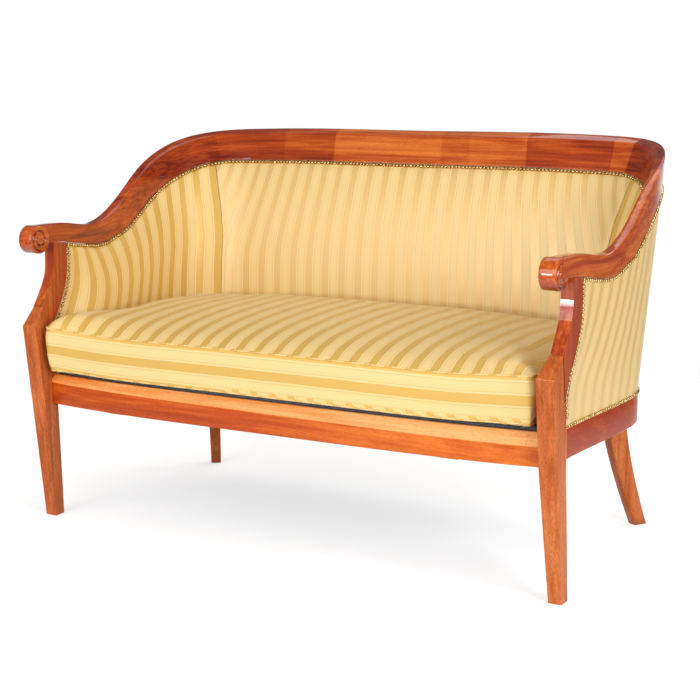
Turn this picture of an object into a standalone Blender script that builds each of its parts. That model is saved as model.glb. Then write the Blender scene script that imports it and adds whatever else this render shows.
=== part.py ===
"""Two-seat mahogany settee: scrolled arms that sweep up into a raked tub back, tapered front legs,
sabre rear legs, striped upholstery and one loose boxed seat cushion.

Metres, +Z up, the sitter faces -Y. Sizes are written in a drawing frame whose Y starts at the front
face of the front feet; the settee empty moves everything so that the origin is under the middle.
Right-hand pieces (+X) are modelled and the left-hand ones are their mirror images.
"""

import math

import bmesh
import bpy
from mathutils import Matrix, Vector

# Fit left between neighbouring pieces
GAP = 0.0003

# Front legs: outer face upright, front face raked, inner and back faces tapering to the foot
LEG_OUTER_X = 0.679
FOOT_WIDTH = 0.030
FOOT_DEPTH = 0.032
LEG_WIDTH = 0.041
LEG_BACK_Y = 0.013
KNEE_Z = 0.477
KNEE_Y = -0.057
LEG_TAPER_Z = 0.283
LEG_EDGE = 0.002

# Arm posts: curved pieces scarfed to the legs above the knee
SCARF_FRONT = (-0.0143, 0.519)
SCARF_BACK = (-0.002, 0.430)
POST_WIDTH = 0.0285
POST_TOP_FRONT_Y = 0.034
POST_TOP_BACK_Y = 0.078
POST_WAIST_SHARE = 0.326
POST_TOP_GAP = 0.0008

# Seat frame
RAIL_BOTTOM_Z = 0.285
FRONT_RAIL_TOP_Z = 0.3555
SIDE_RAIL_TOP_Z = 0.349
FRONT_RAIL_Y = -0.036
FRONT_RAIL_BOW = 0.028
FRONT_RAIL_CHAMFER = 0.012
RAIL_THICKNESS = 0.026

# Rear sabre legs, each in an upright plane through the centre of its seat corner
REAR_LEG_TURN = math.radians(33)
REAR_LEG_SWEEP = 0.080
REAR_LEG_SETBACK = 0.025
REAR_LEG_TOP = (0.054, 0.032)
REAR_FOOT = (0.0350, 0.0260)
REAR_LEG_CURL = 1.4

# Plan of the outer face at seat height and along the top edge of the arms and crest
SEAT_PLAN = {"front_x": 0.650, "side_x": 0.666, "corner_x": 0.466, "corner_y": 0.405, "back_y": 0.612, "power": 2.25}
TOP_PLAN = {"front_x": 0.679, "side_x": 0.697, "corner_x": 0.440, "corner_y": 0.400, "back_y": 0.705, "power": 2.6}
SIDE_SHARE = 0.45
CORNER_SHARE = 0.80

# Arm and crest rail along its outer top edge: distance from the front, then the value there
ARM_HEIGHT = 0.7137
ARM_DIP = 0.0152
CREST_HEIGHT = 0.917
SWEEP_LOW = ARM_HEIGHT - ARM_DIP
SWEEP_RISE = CREST_HEIGHT - SWEEP_LOW
TOP_EDGE = (
    (-0.060, ARM_HEIGHT, 0.0),
    (-0.025, ARM_HEIGHT, 0.0),
    (0.060, ARM_HEIGHT - 0.08 * ARM_DIP, -3.3 * ARM_DIP),
    (0.190, SWEEP_LOW, 0.02),
    (0.385, SWEEP_LOW + 0.428 * SWEEP_RISE, 3.661 * SWEEP_RISE),
    (0.530, SWEEP_LOW + 0.794 * SWEEP_RISE, 1.739 * SWEEP_RISE),
    (0.860, SWEEP_LOW + 0.993 * SWEEP_RISE, 0.137 * SWEEP_RISE),
    (1.330, CREST_HEIGHT, 0.0),
)
TOP_THICKNESS = ((-0.060, 0.0335), (0.060, 0.0320), (0.250, 0.0250), (0.450, 0.0240), (0.880, 0.0340))
TOP_HEIGHT = ((0.000, 0.0440), (0.150, 0.0470), (0.250, 0.0560), (0.320, 0.0650), (0.420, 0.0690), (0.880, 0.0740))
INNER_LEAN = ((0.120, 0.0), (0.340, math.radians(6)), (0.620, math.radians(23)), (0.880, math.radians(22)))
OUTER_LEAN = ((0.120, 0.0), (0.340, math.radians(2)), (0.620, math.radians(5)), (0.880, math.radians(9)))
TOP_ROUND = 0.005
ARM_JOINT_Y = 0.235
CREST_JOINT_X = 0.430
CREST_MIDDLE_X = 0.150

# Scrolls
SCROLL_Y = -0.025
SCROLL_RADIUS = 0.033
SCROLL_RISE = 0.0003
SCROLL_Z = ARM_HEIGHT + SCROLL_RISE - SCROLL_RADIUS
SCROLL_WIDTH = 0.0375
SCROLL_X = 0.6595
GROOVE_RADIUS = 0.0022
GROOVE_OUTER = 0.0265
GROOVE_INNER = 0.0095
GROOVE_TURNS = 1.35

# Upholstery on the sides and back
COVER_THICKNESS = 0.005
COVER_INSET = 0.0015
PAD_TOP_THICKNESS = 0.010
PAD_SEAT_DEPTH = 0.046
PAD_SEAT_THICKNESS = 0.024
PAD_FRONT_DEPTH = 0.020
PAD_CROWN = 0.006
PAD_CROWN_START_SHARE = 0.30
PAD_ROLL_START_SHARE = 0.42
PAD_ROLL_POWER = 2.0
PAD_SEAM_SHARE = 0.64
STILE_WIDTH = 0.050
STILE_THICKNESS = 0.011
STILE_X = 0.230
STILE_CLEARANCE = 0.002

# Seat: webbing, stuffing, platform, dust cover
WEB_WIDTH = 0.050
WEB_THICKNESS = 0.002
WEB_COUNT_ACROSS = 4
WEB_COUNT_ALONG = 8
WEB_SPREAD_SHARE = 0.92
DUST_THICKNESS = 0.002
STUFFING_SIDE_X = 0.520
STUFFING_FRONT_Y = 0.085
STUFFING_BACK_Y = 0.500
PLATFORM_THICKNESS = 0.011
BLOCK_LEG = 0.060

# Loose cushion
CUSHION_CLEARANCE = 0.008
CUSHION_FRONT_Y = -0.032
CUSHION_LEG_CLEARANCE = 0.011
CUSHION_WIDEST = LEG_OUTER_X - LEG_WIDTH - CUSHION_LEG_CLEARANCE
CUSHION_CORNER = 0.028
CUSHION_CORNER_Y = 0.045
PLATFORM_MARGIN = 0.002
PLATFORM_CORNER = 0.012
CUSHION_BOXING = 0.086
CUSHION_ARCH = 0.010
CUSHION_CROWN = 0.074
CUSHION_CROWN_DEPTH = 0.270
CUSHION_CROWN_POWER = 3.2
CUSHION_UNDERCROWN = 0.004
CUSHION_BULGE = 0.007

# Dowels that join the seat rails to the front legs
DOWEL_RADIUS = 0.003
DOWEL_LENGTH = 0.036
DOWEL_FIT = 0.0003
FRONT_DOWEL_Z = (0.303, 0.329)
SIDE_DOWEL_Z = (0.316, 0.342)

# Facets
SIDE_STEPS = 12
CORNER_STEPS = 12
BACK_STEPS = 4
ROUND_SIDES = 32

DEPTH_FRONT = SCROLL_Y - SCROLL_RADIUS
DEPTH_BACK = TOP_PLAN["back_y"] - TOP_ROUND * math.sin(OUTER_LEAN[-1][1])

for leftover in list(bpy.data.objects):
    bpy.data.objects.remove(leftover, do_unlink=True)


def new_collection(name):
    made = bpy.data.collections.new(name)
    bpy.context.scene.collection.children.link(made)
    return made


SETTEE = new_collection("mahogany_settee")
CUTTERS = new_collection("cutters")
ROOT = bpy.data.objects.new("settee", None)
ROOT.location = (0.0, -(DEPTH_FRONT + DEPTH_BACK) / 2, 0.0)
SETTEE.objects.link(ROOT)


def principled(name, colour, roughness):
    made = bpy.data.materials.new(name)
    made.use_nodes = True
    shader = made.node_tree.nodes["Principled BSDF"]
    shader.inputs["Base Color"].default_value = (*colour, 1.0)
    shader.inputs["Roughness"].default_value = roughness
    return made


POLISHED_WOOD = principled("polished_mahogany", (0.36, 0.075, 0.014), 0.18)
LEG_WOOD = principled("satin_mahogany", (0.50, 0.150, 0.045), 0.38)
FRAME_WOOD = principled("beech_frame", (0.55, 0.36, 0.20), 0.6)
STRIPE = principled("striped_satin", (0.80, 0.60, 0.24), 0.5)
PLATFORM_CLOTH = principled("platform_cloth", (0.05, 0.05, 0.06), 0.9)
JUTE = principled("jute_webbing", (0.42, 0.30, 0.16), 0.9)
HAIR = principled("curled_hair", (0.16, 0.12, 0.09), 0.95)
DUST_CLOTH = principled("dust_cloth", (0.04, 0.04, 0.04), 0.95)


def add(name, mesh, finish, angle=35.0):
    """A named part of the settee, shaded smooth up to the given edge angle."""
    mesh.name = name
    mesh.materials.clear()
    mesh.materials.append(finish)
    mesh.shade_smooth()
    mesh.set_sharp_from_angle(angle=math.radians(angle))
    made = bpy.data.objects.new(name, mesh)
    SETTEE.objects.link(made)
    made.parent = ROOT
    return made


def mesh_of(obj):
    """The evaluated mesh of a helper object, welded, with the helper removed."""
    bpy.context.view_layer.update()
    graph = bpy.context.evaluated_depsgraph_get()
    mesh = bpy.data.meshes.new_from_object(obj.evaluated_get(graph))
    mesh.transform(obj.matrix_world)
    bpy.data.objects.remove(obj, do_unlink=True)
    work = bmesh.new()
    work.from_mesh(mesh)
    bmesh.ops.remove_doubles(work, verts=work.verts, dist=1e-6)
    bmesh.ops.recalc_face_normals(work, faces=work.faces)
    work.to_mesh(mesh)
    work.free()
    return mesh


def helper(mesh_or_curve, name):
    made = bpy.data.objects.new(name, mesh_or_curve)
    CUTTERS.objects.link(made)
    made.hide_render = True
    made.display_type = "WIRE"
    return made


def mirrored(mesh):
    """The left-hand mesh of a right-hand one."""
    made = mesh.copy()
    made.transform(Matrix.Scale(-1.0, 4, (1.0, 0.0, 0.0)))
    made.flip_normals()
    return made


def add_pair(name, mesh, finish, angle=35.0):
    left = mirrored(mesh)
    return add(name + "_right", mesh, finish, angle), add(name + "_left", left, finish, angle)


def loft(rings):
    """A closed body through rings of equal length, with flat ends."""
    work = bmesh.new()
    rows = [[work.verts.new(point) for point in ring] for ring in rings]
    for row, following in zip(rows, rows[1:]):
        for i in range(len(row)):
            j = (i + 1) % len(row)
            work.faces.new((row[i], row[j], following[j], following[i]))
    work.faces.new(list(reversed(rows[0])))
    work.faces.new(rows[-1])
    bmesh.ops.recalc_face_normals(work, faces=work.faces)
    mesh = bpy.data.meshes.new("loft")
    work.to_mesh(mesh)
    work.free()
    return mesh


def slab(outline, low, high):
    """A flat outline in X and Y, filled and given its thickness from low to high."""
    curve = bpy.data.curves.new("outline", "CURVE")
    curve.dimensions = "2D"
    curve.fill_mode = "BOTH"
    curve.extrude = (high - low) / 2
    spline = curve.splines.new("POLY")
    spline.points.add(len(outline) - 1)
    for point, place in zip(spline.points, outline):
        point.co = (*place, 0.0, 1.0)
    spline.use_cyclic_u = True
    made = helper(curve, "outline")
    made.location.z = (low + high) / 2
    return mesh_of(made)


def bevelled(mesh, width, segments=2):
    made = helper(mesh, "bevelled")
    rounding = made.modifiers.new("edges", "BEVEL")
    rounding.width = width
    rounding.segments = segments
    rounding.limit_method = "ANGLE"
    rounding.angle_limit = math.radians(30)
    return mesh_of(made)


def combined(mesh, other, operation):
    """The Boolean of two meshes."""
    body = helper(mesh, "body")
    tool = helper(other, "tool")
    cut = body.modifiers.new("cut", "BOOLEAN")
    cut.operation = operation
    cut.object = tool
    made = mesh_of(body)
    bpy.data.objects.remove(tool, do_unlink=True)
    return made


def rod(start, end, radius, sides=12):
    """A plain round rod between two points."""
    axis = Vector(end) - Vector(start)
    turn = axis.to_track_quat("Z", "Y").to_matrix().to_4x4()
    place = Matrix.Translation((Vector(start) + Vector(end)) / 2) @ turn
    work = bmesh.new()
    bmesh.ops.create_cone(
        work, cap_ends=True, segments=sides, radius1=radius, radius2=radius, depth=axis.length, matrix=place
    )
    mesh = bpy.data.meshes.new("rod")
    work.to_mesh(mesh)
    work.free()
    return mesh


def ease(share):
    share = min(1.0, max(0.0, share))
    return share * share * (3.0 - 2.0 * share)


def mix(first, second, share):
    return first + (second - first) * share


def stepped(stations, place):
    """A value that eases from station to station along the rail."""
    for (start, value), (end, following) in zip(stations, stations[1:]):
        if place < end:
            return mix(value, following, ease((place - start) / (end - start)))
    return stations[-1][1]


def plan(level, share):
    """Outer face in plan: side, rounded corner and half of the back, from 0 at the front to 1 in the middle."""
    if share < SIDE_SHARE:
        along = share / SIDE_SHARE
        return mix(level["front_x"], level["side_x"], ease(along)), level["corner_y"] * along
    width = level["side_x"] - level["corner_x"]
    depth = level["back_y"] - level["corner_y"]
    if share < CORNER_SHARE:
        turn = math.pi / 2 * (share - SIDE_SHARE) / (CORNER_SHARE - SIDE_SHARE)
        reach = 2.0 / level["power"]
        return (level["corner_x"] + width * math.cos(turn) ** reach, level["corner_y"] + depth * math.sin(turn) ** reach)
    along = (share - CORNER_SHARE) / (1.0 - CORNER_SHARE)
    return level["corner_x"] * (1.0 - along), level["back_y"]


def inward(level, share):
    """Unit vector in plan from the outer face to the inside."""
    step = 1e-4
    before = plan(level, min(share, 1.0 - step) - step)
    after = plan(level, min(share, 1.0 - step) + step)
    along = Vector((after[0] - before[0], after[1] - before[1]))
    along.normalize()
    return Vector((-along.y, along.x, 0.0))


def shares(start, end):
    """Stations from start to end, the same ones for every piece that follows the plan."""
    marks = [SIDE_SHARE * i / SIDE_STEPS for i in range(-2, SIDE_STEPS)]
    marks += [mix(SIDE_SHARE, CORNER_SHARE, i / CORNER_STEPS) for i in range(CORNER_STEPS)]
    marks += [mix(CORNER_SHARE, 1.0, i / BACK_STEPS) for i in range(BACK_STEPS + 1)]
    inside = [mark for mark in marks if start + 1e-4 < mark < end - 1e-4]
    return [start] + inside + [end]


def share_at_y(level, y):
    return SIDE_SHARE * y / level["corner_y"]


def share_at_x(level, x):
    return mix(CORNER_SHARE, 1.0, 1.0 - x / level["corner_x"])


def top_lengths():
    """Distance along the top edge in plan at finely spaced shares."""
    fine = 400
    marks = [i / fine for i in range(fine + 1)]
    places = [Vector(plan(TOP_PLAN, mark)) for mark in marks]
    lengths = [0.0]
    for before, after in zip(places, places[1:]):
        lengths.append(lengths[-1] + (after - before).length)
    return lengths


TOP_LENGTHS = top_lengths()


def top_length(share):
    if share < 0.0:
        return TOP_PLAN["corner_y"] * share / SIDE_SHARE
    place = share * (len(TOP_LENGTHS) - 1)
    index = min(int(place), len(TOP_LENGTHS) - 2)
    return mix(TOP_LENGTHS[index], TOP_LENGTHS[index + 1], place - index)


def top_z(length):
    """Height of the outer top edge: a smooth curve through the stations and their slopes."""
    for (s0, z0, slope0), (s1, z1, slope1) in zip(TOP_EDGE, TOP_EDGE[1:]):
        if length <= s1:
            break
    span = s1 - s0
    t = min(1.0, max(0.0, (length - s0) / span))
    rising = t * t * (3.0 - 2.0 * t)
    return (
        z0 * (1.0 - rising)
        + z1 * rising
        + slope0 * span * t * (1.0 - t) ** 2
        - slope1 * span * t * t * (1.0 - t)
    )


def top_frame(share):
    """Outer top corner of the rail, the direction to the inside and the direction up from it."""
    length = top_length(share)
    x, y = plan(TOP_PLAN, share)
    inside = inward(TOP_PLAN, share)
    along = Vector((inside.y, -inside.x, 0.0))
    step = 1e-3
    slope = (top_z(length + step) - top_z(length - step)) / (2 * step)
    tangent = (along + Vector((0.0, 0.0, slope))).normalized()
    up = inside.cross(tangent).normalized()
    if up.z < 0.0:
        up.negate()
    return Vector((x, y, top_z(length))), inside, up


def leaning(inside, up, lean):
    """The direction down a face that leans in by an angle."""
    return inside * math.sin(lean) - up * math.cos(lean)


def top_corners(share):
    """Outer top, inner top, inner bottom and outer bottom corners of the arm and crest rail."""
    corner, inside, up = top_frame(share)
    length = top_length(share)
    inner_lean = stepped(INNER_LEAN, length)
    across = inside * math.cos(inner_lean) - up * math.sin(inner_lean)
    inner = corner + across * stepped(TOP_THICKNESS, length)
    height = stepped(TOP_HEIGHT, length)
    inner_bottom = inner + leaning(inside, up, inner_lean) * height
    outer_bottom = corner + leaning(inside, up, stepped(OUTER_LEAN, length)) * height
    return corner, inner, inner_bottom, outer_bottom


def rounded_ring(corners, radii):
    """A ring round four corners, each corner eased by three points."""
    ring = []
    for i, radius in enumerate(radii):
        corner = corners[i]
        before = (corners[i - 1] - corner).normalized() * radius
        after = (corners[(i + 1) % 4] - corner).normalized() * radius
        ring += [corner + before, corner + (before + after) * 0.29, corner + after]
    return ring


def top_ring(share):
    return rounded_ring(top_corners(share), (TOP_ROUND, TOP_ROUND, 0.0015, 0.0015))


def half_ring(point):
    return Vector((-point.x, point.y, point.z))


# Arms, crest corners and crest rail
def scroll_groove(face_x):
    """A tube that cuts one turn and more of the spiral groove into a face of the scroll."""
    curve = bpy.data.curves.new("groove", "CURVE")
    curve.dimensions = "3D"
    curve.bevel_depth = GROOVE_RADIUS
    curve.bevel_resolution = 1
    curve.use_fill_caps = True
    count = 34
    spline = curve.splines.new("POLY")
    spline.points.add(count - 1)
    for i, point in enumerate(spline.points):
        share = i / (count - 1)
        radius = mix(GROOVE_OUTER, GROOVE_INNER, share)
        turn = -math.pi / 2 - 2.0 * math.pi * GROOVE_TURNS * share
        point.co = (face_x, SCROLL_Y + radius * math.cos(turn), SCROLL_Z + radius * math.sin(turn), 1.0)
    return mesh_of(helper(curve, "groove"))


def make_arm():
    start = share_at_y(TOP_PLAN, SCROLL_Y)
    joint = share_at_y(TOP_PLAN, ARM_JOINT_Y)
    bar = loft([top_ring(share) for share in shares(start, joint)])
    inner_x = SCROLL_X - SCROLL_WIDTH / 2
    outer_x = SCROLL_X + SCROLL_WIDTH / 2
    drum = rod((inner_x, SCROLL_Y, SCROLL_Z), (outer_x, SCROLL_Y, SCROLL_Z), SCROLL_RADIUS, ROUND_SIDES)
    drum = bevelled(drum, 0.002, 1)
    arm = combined(bar, drum, "UNION")
    for face_x in (inner_x, outer_x):
        arm = combined(arm, scroll_groove(face_x), "DIFFERENCE")
    add_pair("arm", arm, POLISHED_WOOD)


def top_gap_share():
    return GAP * SIDE_SHARE / TOP_PLAN["corner_y"]


def make_crest():
    joint = share_at_y(TOP_PLAN, ARM_JOINT_Y) + top_gap_share()
    end = share_at_x(TOP_PLAN, CREST_JOINT_X)
    corner = loft([top_ring(share) for share in shares(joint, end)])
    add_pair("crest_corner", corner, POLISHED_WOOD)
    start = share_at_x(TOP_PLAN, CREST_JOINT_X - GAP)
    middle = share_at_x(TOP_PLAN, CREST_MIDDLE_X)
    add_pair("crest_rail", loft([top_ring(share) for share in shares(start, middle)]), POLISHED_WOOD)
    start = share_at_x(TOP_PLAN, CREST_MIDDLE_X - GAP)
    right = [top_ring(share) for share in shares(start, 1.0)]
    left = [[half_ring(point) for point in ring] for ring in reversed(right[:-1])]
    add("crest_rail_middle", loft(right + left), POLISHED_WOOD)


# Front legs and arm posts
def leg_front_y(z):
    return KNEE_Y * z / KNEE_Z


def leg_inner_x(z):
    foot_x = LEG_OUTER_X - FOOT_WIDTH
    knee_x = LEG_OUTER_X - LEG_WIDTH
    if z <= LEG_TAPER_Z:
        return mix(foot_x, knee_x, z / LEG_TAPER_Z)
    return mix(knee_x, LEG_OUTER_X - POST_WIDTH, ease((z - KNEE_Z) / (SCARF_FRONT[1] - KNEE_Z)))


def side_prism(outline, inner_x, outer_x):
    """An outline of (y, z) points given a thickness in X, its inner face following inner_x at each height."""
    mesh = slab(outline, 0.0, 1.0)
    for vertex in mesh.vertices:
        y, z, side = vertex.co
        vertex.co = (outer_x if side > 0.5 else inner_x(z), y, z)
    work = bmesh.new()
    work.from_mesh(mesh)
    bmesh.ops.recalc_face_normals(work, faces=work.faces)
    work.to_mesh(mesh)
    work.free()
    return mesh


def arm_under_z(y):
    """Underside of the arm rail at its outer edge, where the post meets it."""
    station = y
    for _ in range(6):
        under = top_corners(share_at_y(TOP_PLAN, station))[3]
        station += y - under.y
    return under.z


def curve_through(points, steps):
    """A smooth line through (y, z) points."""
    made = []
    padded = [points[0]] + list(points) + [points[-1]]
    for before, start, end, after in zip(padded, padded[1:], padded[2:], padded[3:]):
        for i in range(steps):
            t = i / steps
            made.append(
                tuple(
                    0.5 * (2 * b + (c - a) * t + (2 * a - 5 * b + 4 * c - d) * t * t + (3 * b - a - 3 * c + d) * t**3)
                    for a, b, c, d in zip(before, start, end, after)
                )
            )
    return made + [points[-1]]


def post_z(share):
    """A height on the post: 0 at the front of the scarf, 1 under the arm."""
    return mix(SCARF_FRONT[1], arm_under_z(POST_TOP_BACK_Y), share)


def post_back_points():
    return (
        (POST_TOP_BACK_Y, arm_under_z(POST_TOP_BACK_Y) - POST_TOP_GAP),
        (POST_TOP_BACK_Y + 0.002, post_z(POST_WAIST_SHARE + 0.367)),
        (POST_TOP_BACK_Y - 0.006, post_z(POST_WAIST_SHARE)),
        (POST_TOP_BACK_Y - 0.034, SCARF_FRONT[1] - 0.011),
        (POST_TOP_BACK_Y - 0.059, SCARF_FRONT[1] - 0.048),
        (SCARF_BACK[0] + 2 * GAP, SCARF_BACK[1]),
    )


def post_outline():
    front = curve_through(
        (
            SCARF_FRONT,
            (SCARF_FRONT[0] + 0.035, post_z(POST_WAIST_SHARE + 0.042)),
            (POST_TOP_FRONT_Y - 0.002, post_z(POST_WAIST_SHARE + 0.291)),
            (POST_TOP_FRONT_Y, arm_under_z(POST_TOP_FRONT_Y) - POST_TOP_GAP),
        ),
        4,
    )
    top = []
    for share in (0.25, 0.5, 0.75):
        y = mix(POST_TOP_FRONT_Y, POST_TOP_BACK_Y, share)
        top.append((y, arm_under_z(y) - POST_TOP_GAP))
    return front + top + curve_through(post_back_points(), 4)


def make_front_legs():
    leg = side_prism(
        [
            (0.0, 0.0),
            (leg_front_y(LEG_TAPER_Z), LEG_TAPER_Z),
            (KNEE_Y, KNEE_Z),
            (SCARF_FRONT[0] - 2 * GAP, SCARF_FRONT[1]),
            (SCARF_BACK[0] - 2 * GAP, SCARF_BACK[1]),
            (LEG_BACK_Y, FRONT_RAIL_TOP_Z),
            (LEG_BACK_Y, LEG_TAPER_Z),
            (FOOT_DEPTH, 0.0),
        ],
        leg_inner_x,
        LEG_OUTER_X,
    )
    leg = bevelled(leg, LEG_EDGE)
    for place in dowel_places():
        leg = combined(leg, dowel(place, DOWEL_FIT), "DIFFERENCE")
    add_pair("front_leg", leg, LEG_WOOD)
    post_x = LEG_OUTER_X + GAP
    post = side_prism(post_outline(), lambda z: post_x - POST_WIDTH, post_x)
    add_pair("arm_post", bevelled(post, 0.0015, 1), POLISHED_WOOD)


# Dowels
def dowel_places():
    """Start and end of each dowel in a right-hand front leg: two from the front rail, two from the side rail."""
    leg_face = LEG_OUTER_X - LEG_WIDTH
    front_y = (front_rail_y(leg_face) + LEG_BACK_Y) / 2
    side_x = (leg_face + plan(SEAT_PLAN, share_at_y(SEAT_PLAN, LEG_BACK_Y))[0]) / 2
    half = DOWEL_LENGTH / 2
    places = []
    for z in FRONT_DOWEL_Z:
        places.append(((leg_face - half, front_y, z), (leg_face + half, front_y, z)))
    for z in SIDE_DOWEL_Z:
        places.append(((side_x, LEG_BACK_Y - half, z), (side_x, LEG_BACK_Y + half, z)))
    return places


def dowel(place, extra=0.0):
    start, end = Vector(place[0]), Vector(place[1])
    reach = (end - start).normalized() * extra
    return rod(start - reach, end + reach, DOWEL_RADIUS + extra)


def make_dowels():
    names = ("front_rail_dowel_lower", "front_rail_dowel_upper", "side_rail_dowel_lower", "side_rail_dowel_upper")
    for name, place in zip(names, dowel_places()):
        add_pair(name, dowel(place), FRAME_WOOD)


# Seat frame
def front_rail_y(x):
    """Front face of the bow-fronted rail."""
    return FRONT_RAIL_Y + FRONT_RAIL_BOW * (abs(x) / (LEG_OUTER_X - LEG_WIDTH)) ** 4


def front_rail_ring(x):
    front = front_rail_y(x)
    back = LEG_BACK_Y - GAP
    chamfer = FRONT_RAIL_CHAMFER
    return [
        (x, front, RAIL_BOTTOM_Z),
        (x, front, FRONT_RAIL_TOP_Z - chamfer),
        (x, front + chamfer, FRONT_RAIL_TOP_Z),
        (x, back, FRONT_RAIL_TOP_Z),
        (x, back, RAIL_BOTTOM_Z),
    ]


def make_front_rail():
    end = LEG_OUTER_X - LEG_WIDTH - 2 * GAP
    count = 24
    rail = loft([front_rail_ring(mix(-end, end, i / count)) for i in range(count + 1)])
    for place in dowel_places()[:2]:
        bore = dowel(place, DOWEL_FIT)
        rail = combined(rail, mirrored(bore), "DIFFERENCE")
        rail = combined(rail, bore, "DIFFERENCE")
    add("front_seat_rail", rail, POLISHED_WOOD)


def seat_ring(share):
    x, y = plan(SEAT_PLAN, share)
    outer = Vector((x, y, RAIL_BOTTOM_Z))
    inner = outer + inward(SEAT_PLAN, share) * RAIL_THICKNESS
    up = Vector((0.0, 0.0, SIDE_RAIL_TOP_Z - RAIL_BOTTOM_Z))
    return rounded_ring((outer + up, inner + up, inner, outer), (0.001, 0.001, 0.001, 0.003))


def make_side_and_back_rails():
    start = share_at_y(SEAT_PLAN, LEG_BACK_Y + GAP)
    gap_share = GAP * SIDE_SHARE / SEAT_PLAN["corner_y"]
    side = loft([seat_ring(share) for share in shares(start, SIDE_SHARE - gap_share)])
    ends = side.vertices
    for vertex in ends:
        if vertex.co.y < LEG_BACK_Y + 0.004:
            vertex.co.y = LEG_BACK_Y + GAP
    for place in dowel_places()[2:]:
        side = combined(side, dowel(place, DOWEL_FIT), "DIFFERENCE")
    add_pair("side_seat_rail", side, POLISHED_WOOD)
    add_pair("seat_corner", loft([seat_ring(share) for share in shares(SIDE_SHARE, CORNER_SHARE)]), POLISHED_WOOD)
    start = share_at_x(SEAT_PLAN, SEAT_PLAN["corner_x"] - GAP)
    right = [seat_ring(share) for share in shares(start, 1.0)]
    left = [[half_ring(point) for point in ring] for ring in reversed(right[:-1])]
    add("back_seat_rail", loft(right + left), POLISHED_WOOD)


def corner_centre():
    return Vector((SEAT_PLAN["corner_x"], SEAT_PLAN["corner_y"], 0.0))


def corner_reach():
    """Distance from the corner's centre to its outer face along the plane of the rear leg."""
    best = 0.0
    for i in range(200):
        share = mix(SIDE_SHARE, CORNER_SHARE, i / 199)
        place = Vector((*plan(SEAT_PLAN, share), 0.0)) - corner_centre()
        if math.atan2(place.x, place.y) >= REAR_LEG_TURN:
            best = place.length
    return best


def make_rear_legs():
    along = Vector((math.sin(REAR_LEG_TURN), math.cos(REAR_LEG_TURN), 0.0))
    aside = Vector((along.y, -along.x, 0.0))
    top = RAIL_BOTTOM_Z - GAP
    rings = []
    steps = 10
    for i in range(steps + 1):
        rise = i / steps
        sweep = REAR_LEG_SWEEP * (1.0 - rise) ** REAR_LEG_CURL
        centre = corner_centre() + along * (corner_reach() - REAR_LEG_SETBACK + sweep)
        depth = mix(REAR_FOOT[0], REAR_LEG_TOP[0], rise) / 2
        width = mix(REAR_FOOT[1], REAR_LEG_TOP[1], rise) / 2
        height = Vector((0.0, 0.0, top * rise))
        corners = [
            centre + height + along * depth + aside * width,
            centre + height - along * depth + aside * width,
            centre + height - along * depth - aside * width,
            centre + height + along * depth - aside * width,
        ]
        rings.append(rounded_ring(corners, (0.004, 0.004, 0.003, 0.003)))
    add_pair("rear_leg", loft(rings), LEG_WOOD)


def make_corner_blocks():
    low = RAIL_BOTTOM_Z + 0.004
    high = SIDE_RAIL_TOP_Z - 0.004
    side_x = plan(SEAT_PLAN, share_at_y(SEAT_PLAN, LEG_BACK_Y))[0] - RAIL_THICKNESS - GAP
    front_y = LEG_BACK_Y + GAP
    front = [
        (side_x, front_y),
        (side_x, front_y + BLOCK_LEG),
        (side_x - BLOCK_LEG, front_y),
    ]
    add_pair("front_corner_block", slab(front, low, high), FRAME_WOOD)
    arc = []
    for i in range(9):
        share = mix(SIDE_SHARE, CORNER_SHARE, mix(0.14, 0.86, i / 8))
        place = Vector((*plan(SEAT_PLAN, share), 0.0))
        place += inward(SEAT_PLAN, share) * (RAIL_THICKNESS + 2 * GAP)
        arc.append((place.x, place.y))
    add_pair("rear_corner_block", slab(arc, RAIL_BOTTOM_Z, high), FRAME_WOOD)


# Seat filling
def make_webbing():
    """Straps woven into one net, tacked under the rails."""
    edge_x = plan(SEAT_PLAN, share_at_y(SEAT_PLAN, 0.25))[0] - RAIL_THICKNESS / 2
    front_y = front_rail_y(0.0) + RAIL_THICKNESS / 2
    back_y = SEAT_PLAN["back_y"] - RAIL_THICKNESS / 2
    spread = SEAT_PLAN["corner_x"] * WEB_SPREAD_SHARE
    along_x = [spread * (2 * i / (WEB_COUNT_ALONG - 1) - 1) for i in range(WEB_COUNT_ALONG)]
    across_y = [mix(STUFFING_FRONT_Y, STUFFING_BACK_Y - WEB_WIDTH, i / (WEB_COUNT_ACROSS - 1))
                for i in range(WEB_COUNT_ACROSS)]
    half = WEB_WIDTH / 2
    xs = sorted([-edge_x, edge_x] + [x + side for x in along_x for side in (-half, half)])
    ys = sorted([front_y, back_y] + [y + side for y in across_y for side in (-half, half)])
    work = bmesh.new()
    grid = {}

    def corner(i, j):
        if (i, j) not in grid:
            grid[i, j] = work.verts.new((xs[i], ys[j], 0.0))
        return grid[i, j]

    for i in range(len(xs) - 1):
        for j in range(len(ys) - 1):
            if i % 2 == 1 or j % 2 == 1:
                work.faces.new((corner(i, j), corner(i + 1, j), corner(i + 1, j + 1), corner(i, j + 1)))
    mesh = bpy.data.meshes.new("webbing")
    work.to_mesh(mesh)
    work.free()
    net = helper(mesh, "webbing")
    net.location.z = RAIL_BOTTOM_Z - GAP
    thick = net.modifiers.new("thickness", "SOLIDIFY")
    thick.thickness = WEB_THICKNESS
    thick.offset = -1.0
    add("seat_webbing", mesh_of(net), JUTE)


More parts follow.
